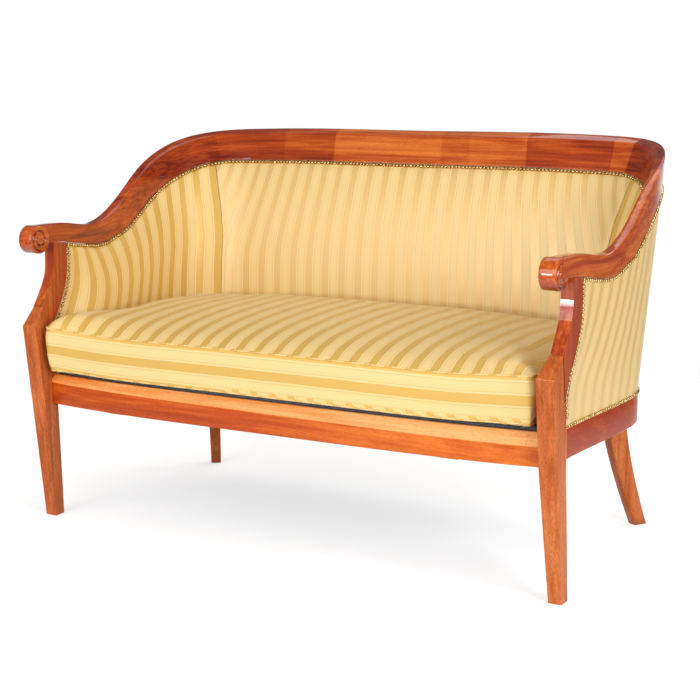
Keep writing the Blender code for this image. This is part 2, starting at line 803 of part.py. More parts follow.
def make_dust_cover():
    top = RAIL_BOTTOM_Z - WEB_THICKNESS - 2 * GAP
    side_x = plan(SEAT_PLAN, share_at_y(SEAT_PLAN, LEG_BACK_Y))[0] - RAIL_THICKNESS / 2
    front_y = LEG_BACK_Y + BLOCK_LEG / 4
    corner_x = SEAT_PLAN["corner_x"]
    back_y = SEAT_PLAN["back_y"] - RAIL_THICKNESS / 2
    half = [
        (corner_x, back_y),
        (corner_x + 0.02, SEAT_PLAN["corner_y"] + 0.075),
        (side_x, SEAT_PLAN["corner_y"] + 0.02),
        (side_x, front_y),
    ]
    outline = half + [(-x, y) for x, y in reversed(half)]
    add("dust_cover", slab(outline, top - DUST_THICKNESS, top), DUST_CLOTH)


def make_stuffing():
    top = FRONT_RAIL_TOP_Z
    low = RAIL_BOTTOM_Z
    middle_y = (STUFFING_FRONT_Y + STUFFING_BACK_Y) / 2
    half_y = (STUFFING_BACK_Y - STUFFING_FRONT_Y) / 2
    outline = rounded_outline(STUFFING_SIDE_X, half_y, middle_y, 10.0, 40)
    add("seat_stuffing", slab(outline, low, top), HAIR)


def rounded_outline(half_x, half_y, middle_y, power, count):
    """A rounded rectangle in plan."""
    made = []
    for i in range(count):
        turn = 2.0 * math.pi * i / count
        x = math.copysign(abs(math.cos(turn)) ** (2.0 / power), math.cos(turn))
        y = math.copysign(abs(math.sin(turn)) ** (2.0 / power), math.sin(turn))
        made.append((half_x * x, middle_y + half_y * y))
    return made


def cushion_front_y(x):
    return CUSHION_FRONT_Y


def platform_front_y(x):
    """Front edge of the platform, along the top edge of the rail's chamfer."""
    return front_rail_y(x) + FRONT_RAIL_CHAMFER + PLATFORM_MARGIN


def seat_outline(front_y, corner):
    """Plan inside the pads: back and sides follow them, the front lies between the legs with eased corners."""
    half = []
    for share in shares(share_at_y(SEAT_PLAN, CUSHION_CORNER_Y), 1.0):
        x, y = plan(SEAT_PLAN, share)
        toward = inward(SEAT_PLAN, share) * (pad_depth(share) + CUSHION_CLEARANCE)
        half.append((x + toward.x, y + toward.y))
    half.reverse()
    side_x = CUSHION_WIDEST
    front_x = side_x - corner
    corner_y = front_y(side_x)
    corner_steps = 5
    for i in range(corner_steps):
        t = i / corner_steps
        x = mix(side_x, front_x, t * t)
        y = (1.0 - t) ** 2 * (corner_y + corner) + 2.0 * t * (1.0 - t) * corner_y + t * t * front_y(front_x)
        half.append((x, y))
    front_steps = 6
    for i in range(front_steps + 1):
        x = front_x * (1.0 - i / front_steps)
        half.append((x, front_y(x)))
    return half + [(-x, y) for x, y in reversed(half[1:-1])]


def cushion_outline(inset):
    """The cushion's plan drawn in on all sides by the inset."""
    outline = seat_outline(cushion_front_y, CUSHION_CORNER)
    half_x = max(x for x, y in outline)
    low_y = min(y for x, y in outline)
    high_y = max(y for x, y in outline)
    middle_y = (low_y + high_y) / 2
    scale_x = 1.0 - inset / half_x
    scale_y = 1.0 - inset / (high_y - middle_y)
    return [(x * scale_x, middle_y + (y - middle_y) * scale_y) for x, y in outline]


def platform_top_z():
    return FRONT_RAIL_TOP_Z + GAP + PLATFORM_THICKNESS


def make_platform():
    low = FRONT_RAIL_TOP_Z + GAP
    outline = seat_outline(platform_front_y, PLATFORM_CORNER)
    add("seat_platform", slab(outline, low, platform_top_z()), PLATFORM_CLOTH)


def make_cushion():
    """Boxed cushion with a crowned top, a slightly crowned underside and swelling boxing between the seams."""
    bottom = platform_top_z() + GAP
    seam_low = bottom + CUSHION_UNDERCROWN
    seam_high = seam_low + CUSHION_BOXING
    sections = []
    for inset in (0.30, 0.12, 0.04, 0.012):
        sections.append((inset, bottom + CUSHION_UNDERCROWN * (1.0 - min(1.0, inset / 0.04)) ** 2))
    for i in range(6):
        share = i / 5
        swell = CUSHION_BULGE * (1.0 - (2.0 * share - 1.0) ** 2)
        sections.append((CUSHION_BULGE - swell, mix(seam_low, seam_high, share)))
    for depth in (0.03, 0.08, 0.18, 0.34, 0.58, 1.0):
        rise = 1.0 - (1.0 - depth) ** CUSHION_CROWN_POWER
        sections.append((CUSHION_BULGE + CUSHION_CROWN_DEPTH * depth, seam_high + CUSHION_CROWN * rise))
    rings = []
    for inset, z in sections:
        lift = CUSHION_ARCH * ease((z - seam_low) / CUSHION_BOXING)
        rings.append([(x, y, z + lift * (1.0 - (x / CUSHION_WIDEST) ** 2)) for x, y in cushion_outline(inset)])
    cushion = loft(rings)
    lift = Vector((0.0, SEAT_PLAN["corner_y"] / 2, bottom))
    cushion.transform(Matrix.Translation(-lift))
    made = add("seat_cushion", cushion, STRIPE, 60.0)
    made.location = lift


# Upholstered sides and back
def seat_point(share, inset):
    x, y = plan(SEAT_PLAN, share)
    return Vector((x, y, SIDE_RAIL_TOP_Z + GAP)) + inward(SEAT_PLAN, share) * inset


def under_rail(share, inset):
    """A point just below the underside of the arm and crest rail, inset from its outer edge."""
    outer_top, inner_top, inner_bottom, outer_bottom = top_corners(share)
    across = (inner_bottom - outer_bottom).normalized()
    down = (outer_bottom - outer_top).normalized()
    down -= across * down.dot(across)
    return outer_bottom + across * inset + down.normalized() * 3 * GAP


def under_width(share):
    """Width of the underside of the arm and crest rail."""
    corners = top_corners(share)
    return (corners[2] - corners[3]).length


def cover_ring(share):
    """Outside cover: a thin panel from the seat rail to the underside of the arm or crest."""
    bottom = (seat_point(share, COVER_INSET), seat_point(share, COVER_INSET + COVER_THICKNESS))
    top = (under_rail(share, COVER_INSET), under_rail(share, COVER_INSET + COVER_THICKNESS))
    rows = 4
    outer = [bottom[0].lerp(top[0], i / rows) for i in range(rows + 1)]
    inner = [top[1].lerp(bottom[1], i / rows) for i in range(rows + 1)]
    return outer + inner


def pad_depth(share):
    """How far the inner face of the pad stands in from the seat's outer face, less beside the post."""
    return mix(PAD_FRONT_DEPTH, PAD_SEAT_DEPTH, ease(share / (0.35 * SIDE_SHARE)))


def pad_roll(rise):
    """Share of the way back to the rail: the face stands upright over the seat, then rolls back to the nails."""
    return max(0.0, (rise - PAD_ROLL_START_SHARE) / (1.0 - PAD_ROLL_START_SHARE)) ** PAD_ROLL_POWER


def pad_ring(share):
    """Inner pad: upright and crowned towards the sitter, rolling back to the nails under the rail."""
    depth = pad_depth(share)
    thick = PAD_SEAT_THICKNESS * depth / PAD_SEAT_DEPTH
    reach = under_width(share)
    front_low = seat_point(share, depth)
    front_high = under_rail(share, reach)
    back_high = under_rail(share, reach - PAD_TOP_THICKNESS)
    back_low = seat_point(share, depth - thick)
    toward = inward(SEAT_PLAN, share)
    rows = 10
    front = []
    for i in range(rows + 1):
        rise = i / rows
        swell = max(0.0, (rise - PAD_CROWN_START_SHARE) / (1.0 - PAD_CROWN_START_SHARE))
        crown = PAD_CROWN * depth / PAD_SEAT_DEPTH * 4.0 * swell * (1.0 - swell)
        place = front_low.lerp(front_high, pad_roll(rise))
        place.z = mix(front_low.z, front_high.z, rise)
        front.append(place + toward * crown)
    back = [back_high.lerp(back_low, i / rows) for i in range(rows + 1)]
    return front + back


def seam_ring(side):
    """End of a pad at the corner seam, drawn flat: side 1 for the arm pad, -1 for the back pad."""
    low = seat_point(PAD_SEAM_SHARE, 0.0)
    inside = inward(SEAT_PLAN, PAD_SEAM_SHARE)
    forward = Vector((-inside.y, inside.x, 0.0))
    normal = (under_rail(PAD_SEAM_SHARE, 0.0) - low).cross(inside).normalized()
    if normal.dot(forward) < 0.0:
        normal.negate()
    ring = []
    for point in pad_ring(PAD_SEAM_SHARE):
        away = side * GAP - (point - low).dot(normal)
        ring.append(point + forward * (away / forward.dot(normal)))
    return ring


def post_back_line():
    """Back edge of the leg and post, from the seat rail up to the arm."""
    outline = post_outline()
    back = outline[outline.index(post_back_points()[0]) :]
    return [(LEG_BACK_Y, RAIL_BOTTOM_Z), (LEG_BACK_Y, FRONT_RAIL_TOP_Z)] + list(reversed(back))


def trimmed_to_post(mesh):
    """Cuts the front edge of a side panel along the back of the leg and post."""
    margin = 3 * GAP
    line = [(y + margin, z) for y, z in post_back_line()]
    top_z = SCROLL_Z + SCROLL_RADIUS
    front_y = KNEE_Y - 0.1
    line += [(line[-1][0], top_z), (front_y, top_z), (front_y, RAIL_BOTTOM_Z)]
    cutter = side_prism(line, lambda z: LEG_OUTER_X - 0.15, LEG_OUTER_X + 0.05)
    return combined(mesh, cutter, "DIFFERENCE")


def make_covers():
    split = 0.60
    start = share_at_y(SEAT_PLAN, -LEG_BACK_Y)
    side = loft([cover_ring(share) for share in shares(start, split)])
    add_pair("outside_side_cover", trimmed_to_post(side), STRIPE, 50.0)
    right = [cover_ring(share) for share in shares(split + 0.001, 1.0)]
    left = [[half_ring(point) for point in ring] for ring in reversed(right[:-1])]
    add("outside_back_cover", loft(right + left), STRIPE, 50.0)


def make_pads():
    start = share_at_y(SEAT_PLAN, -LEG_BACK_Y)
    pad = loft([pad_ring(share) for share in shares(start, PAD_SEAM_SHARE)[:-1]] + [seam_ring(1)])
    add_pair("arm_pad", trimmed_to_post(pad), STRIPE, 60.0)
    right = [seam_ring(-1)] + [pad_ring(share) for share in shares(PAD_SEAM_SHARE, 1.0)[1:]]
    left = [[half_ring(point) for point in ring] for ring in reversed(right[:-1])]
    add("back_pad", loft(right + left), STRIPE, 60.0)


def make_stiles():
    """Uprights between the cover and the pad, from the back seat rail to the crest."""
    half = STILE_WIDTH / 2
    rings = []
    for x in (STILE_X - half, STILE_X + half):
        share = share_at_x(TOP_PLAN, x)
        low = seat_point(share, COVER_INSET + COVER_THICKNESS + STILE_CLEARANCE)
        high = under_rail(share, COVER_INSET + COVER_THICKNESS + STILE_CLEARANCE)
        low.x = x
        high.x = x
        toward = Vector((0.0, -STILE_THICKNESS, 0.0))
        inner = under_rail(share, COVER_INSET + COVER_THICKNESS + STILE_CLEARANCE + STILE_THICKNESS)
        inner.x = x
        rings.append([low, high, inner, low + toward])
    add_pair("back_stile", loft(rings), FRAME_WOOD)


make_front_legs()
make_rear_legs()
make_front_rail()
make_side_and_back_rails()
make_corner_blocks()
make_dowels()
make_arm()
make_crest()
make_webbing()
make_dust_cover()
make_stuffing()
make_platform()
make_cushion()
make_covers()
make_pads()
make_stiles()
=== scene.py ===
import math

import bmesh
import bpy
import numpy as np
from mathutils import Matrix, Vector
from mathutils.geometry import delaunay_2d_cdt


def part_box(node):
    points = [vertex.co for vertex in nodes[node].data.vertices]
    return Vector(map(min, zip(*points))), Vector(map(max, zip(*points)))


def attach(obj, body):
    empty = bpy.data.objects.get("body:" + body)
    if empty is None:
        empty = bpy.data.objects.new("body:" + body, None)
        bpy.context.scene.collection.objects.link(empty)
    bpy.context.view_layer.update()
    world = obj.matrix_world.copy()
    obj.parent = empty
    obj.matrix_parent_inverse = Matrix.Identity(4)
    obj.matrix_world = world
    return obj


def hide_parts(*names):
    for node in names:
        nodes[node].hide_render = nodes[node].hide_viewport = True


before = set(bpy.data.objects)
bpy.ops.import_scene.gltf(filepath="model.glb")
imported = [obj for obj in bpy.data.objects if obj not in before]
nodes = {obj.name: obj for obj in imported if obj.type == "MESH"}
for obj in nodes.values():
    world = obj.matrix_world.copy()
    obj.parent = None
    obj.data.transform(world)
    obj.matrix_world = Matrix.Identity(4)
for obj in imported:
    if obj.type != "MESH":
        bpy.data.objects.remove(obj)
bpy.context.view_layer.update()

# ---------------------------------------------------------------- sizes of the settee, in metres

# plans of the seat rail's and the top rail's outer faces, and where along them the side and the corner end
SEAT_PLAN = {"front_x": 0.650, "side_x": 0.666, "corner_x": 0.466, "corner_y": 0.405, "back_y": 0.612, "power": 2.25}
TOP_PLAN = {"front_x": 0.679, "side_x": 0.697, "corner_x": 0.440, "corner_y": 0.400, "back_y": 0.705, "power": 2.6}
SIDE_SHARE = 0.45
CORNER_SHARE = 0.80
# the top rail: height of its edge and slope along it, then its section, leaning more towards the back
ARM_HEIGHT = 0.7137
ARM_DIP = 0.0152
CREST_HEIGHT = 0.917
SWEEP_LOW = ARM_HEIGHT - ARM_DIP
SWEEP_RISE = CREST_HEIGHT - SWEEP_LOW
TOP_EDGE = (
    (-0.060, ARM_HEIGHT, 0.0),
    (-0.025, ARM_HEIGHT, 0.0),
    (0.060, ARM_HEIGHT - 0.08 * ARM_DIP, -3.3 * ARM_DIP),
    (0.190, SWEEP_LOW, 0.02),
    (0.385, SWEEP_LOW + 0.428 * SWEEP_RISE, 3.661 * SWEEP_RISE),
    (0.530, SWEEP_LOW + 0.794 * SWEEP_RISE, 1.739 * SWEEP_RISE),
    (0.860, SWEEP_LOW + 0.993 * SWEEP_RISE, 0.137 * SWEEP_RISE),
    (1.330, CREST_HEIGHT, 0.0),
)
TOP_THICKNESS = ((-0.060, 0.0335), (0.060, 0.0320), (0.250, 0.0250), (0.450, 0.0240), (0.880, 0.0340))
TOP_TALL = ((0.000, 0.0440), (0.150, 0.0470), (0.250, 0.0560), (0.320, 0.0650), (0.420, 0.0690), (0.880, 0.0740))
INNER_LEAN = ((0.120, 0.0), (0.340, math.radians(6)), (0.620, math.radians(23)), (0.880, math.radians(22)))
OUTER_LEAN = ((0.120, 0.0), (0.340, math.radians(2)), (0.620, math.radians(5)), (0.880, math.radians(9)))
TOP_ROUND = 0.005
ARM_JOINT_Y = 0.235
CREST_JOINT_X = 0.430
CREST_MIDDLE_X = 0.150
# the volutes of the arms
SCROLL_Y, SCROLL_Z, SCROLL_X = -0.025, 0.681, 0.6595
SCROLL_RADIUS, SCROLL_WIDTH = 0.033, 0.0375
GROOVE_OUTER, GROOVE_INNER, GROOVE_TURNS, GROOVE_DEPTH = 0.0265, 0.0095, 1.35, 0.0026
# the seat rails, the legs and the posts
RAIL_LOW, SIDE_RAIL_TOP, FRONT_RAIL_TOP = 0.285, 0.349, 0.3555
RAIL_THICKNESS = 0.026
FRONT_RAIL_Y, FRONT_RAIL_BOW, FRONT_RAIL_CHAMFER = -0.036, 0.028, 0.012
# painted light on the front rail: how much paler its upper edge is, and how far below its top the pale band starts at
# the left and at the right
FRONT_RAIL_PAINTED_LIGHT, PAINTED_LIGHT_DROP_LEFT, PAINTED_LIGHT_DROP_RIGHT = 0.35, 0.018, 0.028
SEAT_GRAIN_LENGTH = 1.9
LEG_INNER_X, LEG_OUTER_X = 0.638, 0.679
LEG_BACK_Y = 0.013
POST_INNER_X = 0.6505
HAIRLINE, RAIL_END_GAP, UNDER_RAIL_GAP, POST_GAP = 0.0003, 0.0004, 0.0009, 0.0012
# the pads inside and the covers outside
PAD_SEAT_DEPTH, PAD_FRONT_DEPTH, PAD_SEAT_THICKNESS, PAD_TOP_THICKNESS = 0.046, 0.020, 0.024, 0.010
PAD_FRONT_REACH, PAD_POST_REACH, PAD_PULL = 0.35, 0.075, 0.004
PAD_CROWN, PAD_CROWN_START, PAD_LEAN_START, PAD_ROLL_START, PAD_ROLL_POWER = 0.006, 0.30, 0.15, 0.42, 2.0
PAD_LEAN = 0.45
PAD_SEAM = ((0.0, 0.710), (0.60, 0.710), (0.75, 0.690), (0.95, 0.648), (1.0, 0.638))
COVER_INSET, COVER_THICKNESS, COVER_POST_REACH, COVER_PULL = 0.0015, 0.005, 0.060, 0.0015
SEAM_PULL, SEAM_REACH, NAIL_REACH = 0.6, 0.009, 0.010
GATHER, GATHER_REACH, GATHER_WAVES = 0.0005, 0.022, (0.0053, 0.0079)
STRIPE_REPEAT, STRIPE_DRIFT, STRIPE_FAN = 0.0485, 0.0018, 0.12
STAVE_SPAN, STAVE_SLANT = 2.8, 0.12
POST_BACK = ((0.078, 0.6625), (0.080, 0.619), (0.072, 0.566), (0.044, 0.508), (0.019, 0.471), (-0.0014, 0.430))
# the loose cushion
CUSHION_FRONT_Y, CUSHION_WIDEST, CUSHION_CORNER, CUSHION_CORNER_Y = -0.032, 0.635, 0.030, 0.045
CUSHION_LOW, CUSHION_BOXING, CUSHION_ARCH, CUSHION_SWELL = 0.3671, 0.092, 0.004, 0.005
CUSHION_CROWN, CUSHION_CROWN_DEPTH, CUSHION_EDGE_ROLL, CUSHION_EDGE_REACH = 0.043, 0.40, 0.28, 0.010
CUSHION_CLEARANCE = 0.008
CUSHION_LIMIT = LEG_INNER_X - 0.0012
CUSHION_EAR_LEFT, CUSHION_EAR_RIGHT, CUSHION_EAR_REACH, CUSHION_TUCK = 0.024, 0.014, 0.15, 0.016
CUSHION_LIFT, CUSHION_LIFT_REACH = 0.014, 0.15
CUSHION_SINK, SINK_X, SINK_WIDTH, SINK_Y, SINK_DEPTH = 0.010, 0.50, 0.16, 0.46, 0.17
BOXING_ROWS, BOXING_STRIPE_START = 9, 0.012
UNDER_STRIPES_FROM, UNDER_STRIPES_SLANT = -0.12, 0.006
PIPING_RADIUS = 0.0020
FILLING = {"quality": 5, "mass": 0.3, "tension_stiffness": 30.0, "compression_stiffness": 30.0,
           "shear_stiffness": 15.0, "bending_stiffness": 2.0, "use_pressure": True, "uniform_pressure_force": 4.0}
FILLING_FRAMES, FILLING_CAP = 20, 0.006
# under the cushion: edges as pairs of inset and rise
PLATFORM_LOW, PLATFORM_THICKNESS, PLATFORM_MARGIN, PLATFORM_CORNER = 0.3558, 0.011, 0.002, 0.012
PLATFORM_EDGE = ((0.008, 0.0), (0.003, 0.05), (0.0006, 0.25), (0.0, 0.5), (0.0006, 0.75), (0.003, 0.95), (0.008, 1.0))
STUFFING_EDGE = ((0.03, 0.0), (0.008, 0.06), (0.0, 0.3), (0.0, 0.7), (0.010, 0.92), (0.05, 0.995), (0.12, 1.0))
DUST_SAG, DUST_SAG_REACH, DUST_SPACING = 0.006, 0.10, 0.025
# shading, nails, the studio and the camera
SOFT_EDGE = 60.0
NAIL_PITCH, NAIL_RADIUS, NAIL_DOME, NAIL_INSET, NAIL_LIFT = 0.0096, 0.0044, 0.0042, 0.0045, 0.0006
NAIL_FOOT_INSET, NAIL_STEP, NAIL_POST_GAP = 0.0048, 0.008, 0.006
FLOOR_SIZE, PAPER_GLOW, DIM_STUDIO, ROOM_LIGHT = 24.0, 0.48, 0.14, 0.42
CAMERA_PLACE, CAMERA_LENS = (1.8541, -3.1886, 1.0968), 81.44
CAMERA_YAW, CAMERA_PITCH, CAMERA_ROLL = math.radians(30.209), math.radians(10.448), math.radians(-0.364)
# the drawing's depth that lies at 0 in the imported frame
MIDDLE_Y = (SCROLL_Y - SCROLL_RADIUS + TOP_PLAN["back_y"] - TOP_ROUND * math.sin(OUTER_LEAN[-1][1])) / 2

# ---------------------------------------------------------------- lines of the frame


def ease(share):
    share = min(1.0, max(0.0, share))
    return share * share * (3.0 - 2.0 * share)


def mix(first, second, share):
    return first + (second - first) * share


def stepped(stations, place):
    """A value that eases from station to station along the rail."""
    for (start, value), (end, following) in zip(stations, stations[1:]):
        if place < end:
            return mix(value, following, ease((place - start) / (end - start)))
    return stations[-1][1]


def plan(level, share):
    """Outer face in plan, right-hand half: 0 at the front, 1 in the middle of the back."""
    if share < SIDE_SHARE:
        along = share / SIDE_SHARE
        return mix(level["front_x"], level["side_x"], ease(along)), level["corner_y"] * along
    width = level["side_x"] - level["corner_x"]
    depth = level["back_y"] - level["corner_y"]
    if share < CORNER_SHARE:
        turn = math.pi / 2 * (share - SIDE_SHARE) / (CORNER_SHARE - SIDE_SHARE)
        reach = 2.0 / level["power"]
        return level["corner_x"] + width * math.cos(turn) ** reach, level["corner_y"] + depth * math.sin(turn) ** reach
    along = (share - CORNER_SHARE) / (1.0 - CORNER_SHARE)
    return level["corner_x"] * (1.0 - along), level["back_y"]


def inward(level, share):
    """Unit vector in plan from the outer face to the inside."""
    step = 1e-4
    middle = min(share, 1.0 - step)
    before, after = plan(level, middle - step), plan(level, middle + step)
    along = Vector((after[0] - before[0], after[1] - before[1])).normalized()
    return Vector((-along.y, along.x, 0.0))


def share_at_y(level, y):
    return SIDE_SHARE * y / level["corner_y"]


def share_at_x(level, x):
    return mix(CORNER_SHARE, 1.0, 1.0 - x / level["corner_x"])


def stations(start, end, spacing=0.012):
    """Shares from start to end, about the spacing apart, closer on the corner."""
    marks = []
    for low, high, length in ((-0.08, SIDE_SHARE, 0.47), (SIDE_SHARE, CORNER_SHARE, 0.55), (CORNER_SHARE, 1.0, 0.44)):
        count = round(length / spacing)
        marks += [mix(low, high, i / count) for i in range(count)]
    return [start] + [mark for mark in marks if start + 1e-3 < mark < end - 1e-3] + [end]


FINE = 400
PLAN_POINTS = [Vector(plan(TOP_PLAN, i / FINE)) for i in range(FINE + 1)]
TOP_LENGTHS = np.concatenate([[0.0], np.cumsum([(b - a).length for a, b in zip(PLAN_POINTS, PLAN_POINTS[1:])])])


def top_length(share):
    if share < 0.0:
        return TOP_PLAN["corner_y"] * share / SIDE_SHARE
    return float(np.interp(share * FINE, np.arange(FINE + 1), TOP_LENGTHS))


def top_z(length):
    """Height of the outer top edge: a smooth curve through the stations and their slopes."""
    for (s0, z0, slope0), (s1, z1, slope1) in zip(TOP_EDGE, TOP_EDGE[1:]):
        if length <= s1:
            break
    span = s1 - s0
    t = min(1.0, max(0.0, (length - s0) / span))
    rising = t * t * (3.0 - 2.0 * t)
    bends = slope0 * span * t * (1.0 - t) ** 2 - slope1 * span * t * t * (1.0 - t)
    return z0 * (1.0 - rising) + z1 * rising + bends


def top_corners(share):
    """Outer top, inner top, inner bottom and outer bottom corners of the arm and crest rail."""
    length = top_length(share)
    corner = Vector((*plan(TOP_PLAN, share), top_z(length)))
    inside = inward(TOP_PLAN, share)
    slope = (top_z(length + 1e-3) - top_z(length - 1e-3)) / 2e-3
    tangent = Vector((inside.y, -inside.x, slope)).normalized()
    up = inside.cross(tangent).normalized()
    if up.z < 0.0:
        up.negate()
    inner_lean, outer_lean = stepped(INNER_LEAN, length), stepped(OUTER_LEAN, length)
    tall = stepped(TOP_TALL, length)
    inner = corner + (inside * math.cos(inner_lean) - up * math.sin(inner_lean)) * stepped(TOP_THICKNESS, length)
    inner_low = inner + (inside * math.sin(inner_lean) - up * math.cos(inner_lean)) * tall
    outer_low = corner + (inside * math.sin(outer_lean) - up * math.cos(outer_lean)) * tall
    return corner, inner, inner_low, outer_low


def seat_point(share, inset):
    return Vector((*plan(SEAT_PLAN, share), SIDE_RAIL_TOP + HAIRLINE)) + inward(SEAT_PLAN, share) * inset


def under_rail(share, inset):
    """A point just below the underside of the arm and crest rail, inset from its outer edge."""
    outer_top, _, inner_low, outer_low = top_corners(share)
    across = (inner_low - outer_low).normalized()
    down = (outer_low - outer_top).normalized()
    down -= across * down.dot(across)
    return outer_low + across * inset + down.normalized() * UNDER_RAIL_GAP


def under_width(share):
    corners = top_corners(share)
    return (corners[2] - corners[3]).length


def pad_depth(share):
    return mix(PAD_FRONT_DEPTH, PAD_SEAT_DEPTH, ease(share / (PAD_FRONT_REACH * SIDE_SHARE)))


def smooth_line(points, steps):
    """A smooth line through points in a plane."""
    made = []
    ends = [points[0]] + list(points) + [points[-1]]
    for a, b, c, d in zip(ends, ends[1:], ends[2:], ends[3:]):
        a, b, c, d = Vector(a), Vector(b), Vector(c), Vector(d)
        for i in range(steps):
            t = i / steps
            made.append((b * 2 + (c - a) * t + (a * 2 - b * 5 + c * 4 - d) * t * t
                         + (b * 3 - a - c * 3 + d) * t**3) / 2)
    return made + [Vector(points[-1])]


POST_LINE = [(LEG_BACK_Y, 0.30), (LEG_BACK_Y, FRONT_RAIL_TOP)]
POST_LINE += [(p.x, p.y) for p in reversed(smooth_line(POST_BACK, 6))]
POST_LINE += [(POST_LINE[-1][0], 0.75)]


def post_back_y(z):
    """Back edge of the front leg and arm post at a height."""
    return float(np.interp(z, [p[1] for p in POST_LINE], [p[0] for p in POST_LINE]))


def front_rail_y(x):
    return FRONT_RAIL_Y + FRONT_RAIL_BOW * (abs(x) / LEG_INNER_X) ** 4


# ---------------------------------------------------------------- meshes


def filleted(corners, radii, steps=4):
    """A ring round some corners, each eased over its radius."""
    ring = []
    for i, radius in enumerate(radii):
        corner = corners[i]
        before = corner + (corners[i - 1] - corner).normalized() * radius
        after = corner + (corners[(i + 1) % len(corners)] - corner).normalized() * radius
        for k in range(steps + 1):
            t = k / steps
            ring.append(before * (1 - t) ** 2 + corner * (2 * t * (1 - t)) + after * t * t)
    return ring


def drawn(points, faces, uvs=None):
    """A mesh, with the stripes' places if they are given for each corner of each face."""
    mesh = bpy.data.meshes.new("drawn")
    mesh.from_pydata(points, [], faces)
    if uvs:
        layer = mesh.uv_layers.new(name="stripe")
        layer.data.foreach_set("uv", [v for place in uvs for v in place])
    return mesh


def worked(change, made, *meshes):
    """Puts meshes together, changes them as one and keeps the result in a mesh."""
    work = bmesh.new()
    for mesh in meshes:
        work.from_mesh(mesh)
    if change:
        change(work)
    work.to_mesh(made)
    work.free()
    return made


def joined(*meshes):
    """One mesh of several."""
    return worked(None, bpy.data.meshes.new("joined"), *meshes)


def skin(rings, stripe=None, looped=False):
    """Quads through closed rings of points, capped or looped. stripe has one more UV pair for a ring than points."""
    count = len(rings[0])
    points = [tuple(p) for ring in rings for p in ring]
    faces, corners = [], []
    for i in range(len(rings) if looped else len(rings) - 1):
        n = (i + 1) % len(rings)
        for j in range(count):
            k = (j + 1) % count
            faces.append((i * count + j, i * count + k, n * count + k, n * count + j))
            corners.append(((i, j), (i, j + 1), (i + 1, j + 1), (i + 1, j)))
    if not looped:
        last = len(rings) - 1
        faces += [tuple(reversed(range(count))), tuple(last * count + j for j in range(count))]
        corners += [tuple((0, j) for j in reversed(range(count))), tuple((last, j) for j in range(count))]
    return drawn(points, faces, [stripe[i][j] for face in corners for i, j in face] if stripe else None)


def smoothed(mesh, angle):
    """Shades a mesh smooth up to an edge angle."""
    mesh.shade_smooth()
    mesh.set_sharp_from_angle(angle=math.radians(angle))
    return mesh


def finished(mesh, angle=40.0, turn=True):
    """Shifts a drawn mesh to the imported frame, turns its faces outwards and shades it smooth up to an edge angle."""
    mesh.transform(Matrix.Translation((0.0, -MIDDLE_Y, 0.0)))
    if turn:
        worked(lambda work: bmesh.ops.recalc_face_normals(work, faces=work.faces), mesh, mesh)
    return smoothed(mesh, angle)


def linked(name, data):
    """A new object in the scene."""
    made = bpy.data.objects.new(name, data)
    bpy.context.scene.collection.objects.link(made)
    return made


def piece(name, mesh, material, replaced=(), body="frame"):
    made = linked(name, mesh)
    mesh.name = name
    mesh.materials.clear()
    mesh.materials.append(material)
    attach(made, body)
    if replaced:
        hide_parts(*replaced)
    return made


def whole(rings):
    """Rings drawn on the right, up to the middle, run on through their mirror images."""
    return rings + [[Vector((-p.x, p.y, p.z)) for p in ring] for ring in reversed(rings[:-1])]


def lengths_round(line):
    """Distance along a closed line at each of its points, and back at the first."""
    return np.concatenate([[0.0], np.cumsum(np.linalg.norm(np.roll(line, -1, axis=0) - line, axis=1))])


def mirrored(mesh):
    """The left-hand mesh of a right-hand one; its stripes and grain stay where they are along the piece."""
    made = mesh.copy()
    made.transform(Matrix.Scale(-1.0, 4, (1.0, 0.0, 0.0)))
    made.flip_normals()
    return made


def set_grain(mesh, places):
    """Where each point lies in its board: along the grain, across it and into it, in metres."""
    grain = mesh.attributes.new("grain", "FLOAT_VECTOR", "POINT")
    grain.data.foreach_set("vector", [v for place in places for v in place])


def set_tone(mesh, values):
    """Painted light and shade: how much lighter or darker than its board each point is."""
    mesh.attributes.new("tone", "FLOAT", "POINT").data.foreach_set("value", values)


# ---------------------------------------------------------------- materials


def linear(colour):
    """An sRGB hex colour in linear light."""
    parts = [int(colour[i:i + 2], 16) / 255 for i in (1, 3, 5)]
    return (*[p / 12.92 if p <= 0.04045 else ((p + 0.055) / 1.055) ** 2.4 for p in parts], 1.0)


def put(tree, kind, inputs=None, **settings):
    """Adds a node with its settings and its inputs, which are values or sockets to link from."""
    made = tree.nodes.new(kind)
    for name, value in settings.items():
        setattr(made, name, value)
    for name, value in (inputs or {}).items():
        if isinstance(value, bpy.types.NodeSocket):
            tree.links.new(value, made.inputs[name])
        else:
            made.inputs[name].default_value = value
    return made


def maths(tree, operation, *values):
    return put(tree, "ShaderNodeMath", dict(enumerate(values)), operation=operation).outputs[0]


def blend(tree, share, first, second):
    return put(tree, "ShaderNodeMix", {"Factor": share, "A": first, "B": second}, data_type="FLOAT").outputs[0]


def smooth_range(tree, value, low, high, start=0.0, end=1.0):
    limits = {0: value, 1: low, 2: high, 3: start, 4: end}
    return put(tree, "ShaderNodeMapRange", limits, interpolation_type="SMOOTHSTEP").outputs[0]


def ramp(tree, value, stops, joints="LINEAR"):
    """Colours, or plain values, at places along a value from 0 to 1."""
    made = put(tree, "ShaderNodeValToRGB", {0: value})
    line = made.color_ramp
    while len(line.elements) < len(stops):
        line.elements.new(0.5)
    for element, (place, colour) in zip(line.elements, stops):
        element.position = place
        element.color = linear(colour) if isinstance(colour, str) else (colour, colour, colour, 1.0)
    line.interpolation = joints
    return made.outputs[0]


def noise(tree, place, scale, detail, **more):
    """Noise with so many features to the metre along each axis."""
    where = put(tree, "ShaderNodeMapping", {"Vector": place, "Scale": scale})
    inputs = {"Vector": where.outputs[0], "Scale": 1.0, "Detail": detail, **more}
    return put(tree, "ShaderNodeTexNoise", inputs).outputs[0]


def own_place(tree):
    return put(tree, "ShaderNodeTexCoord").outputs["Object"]


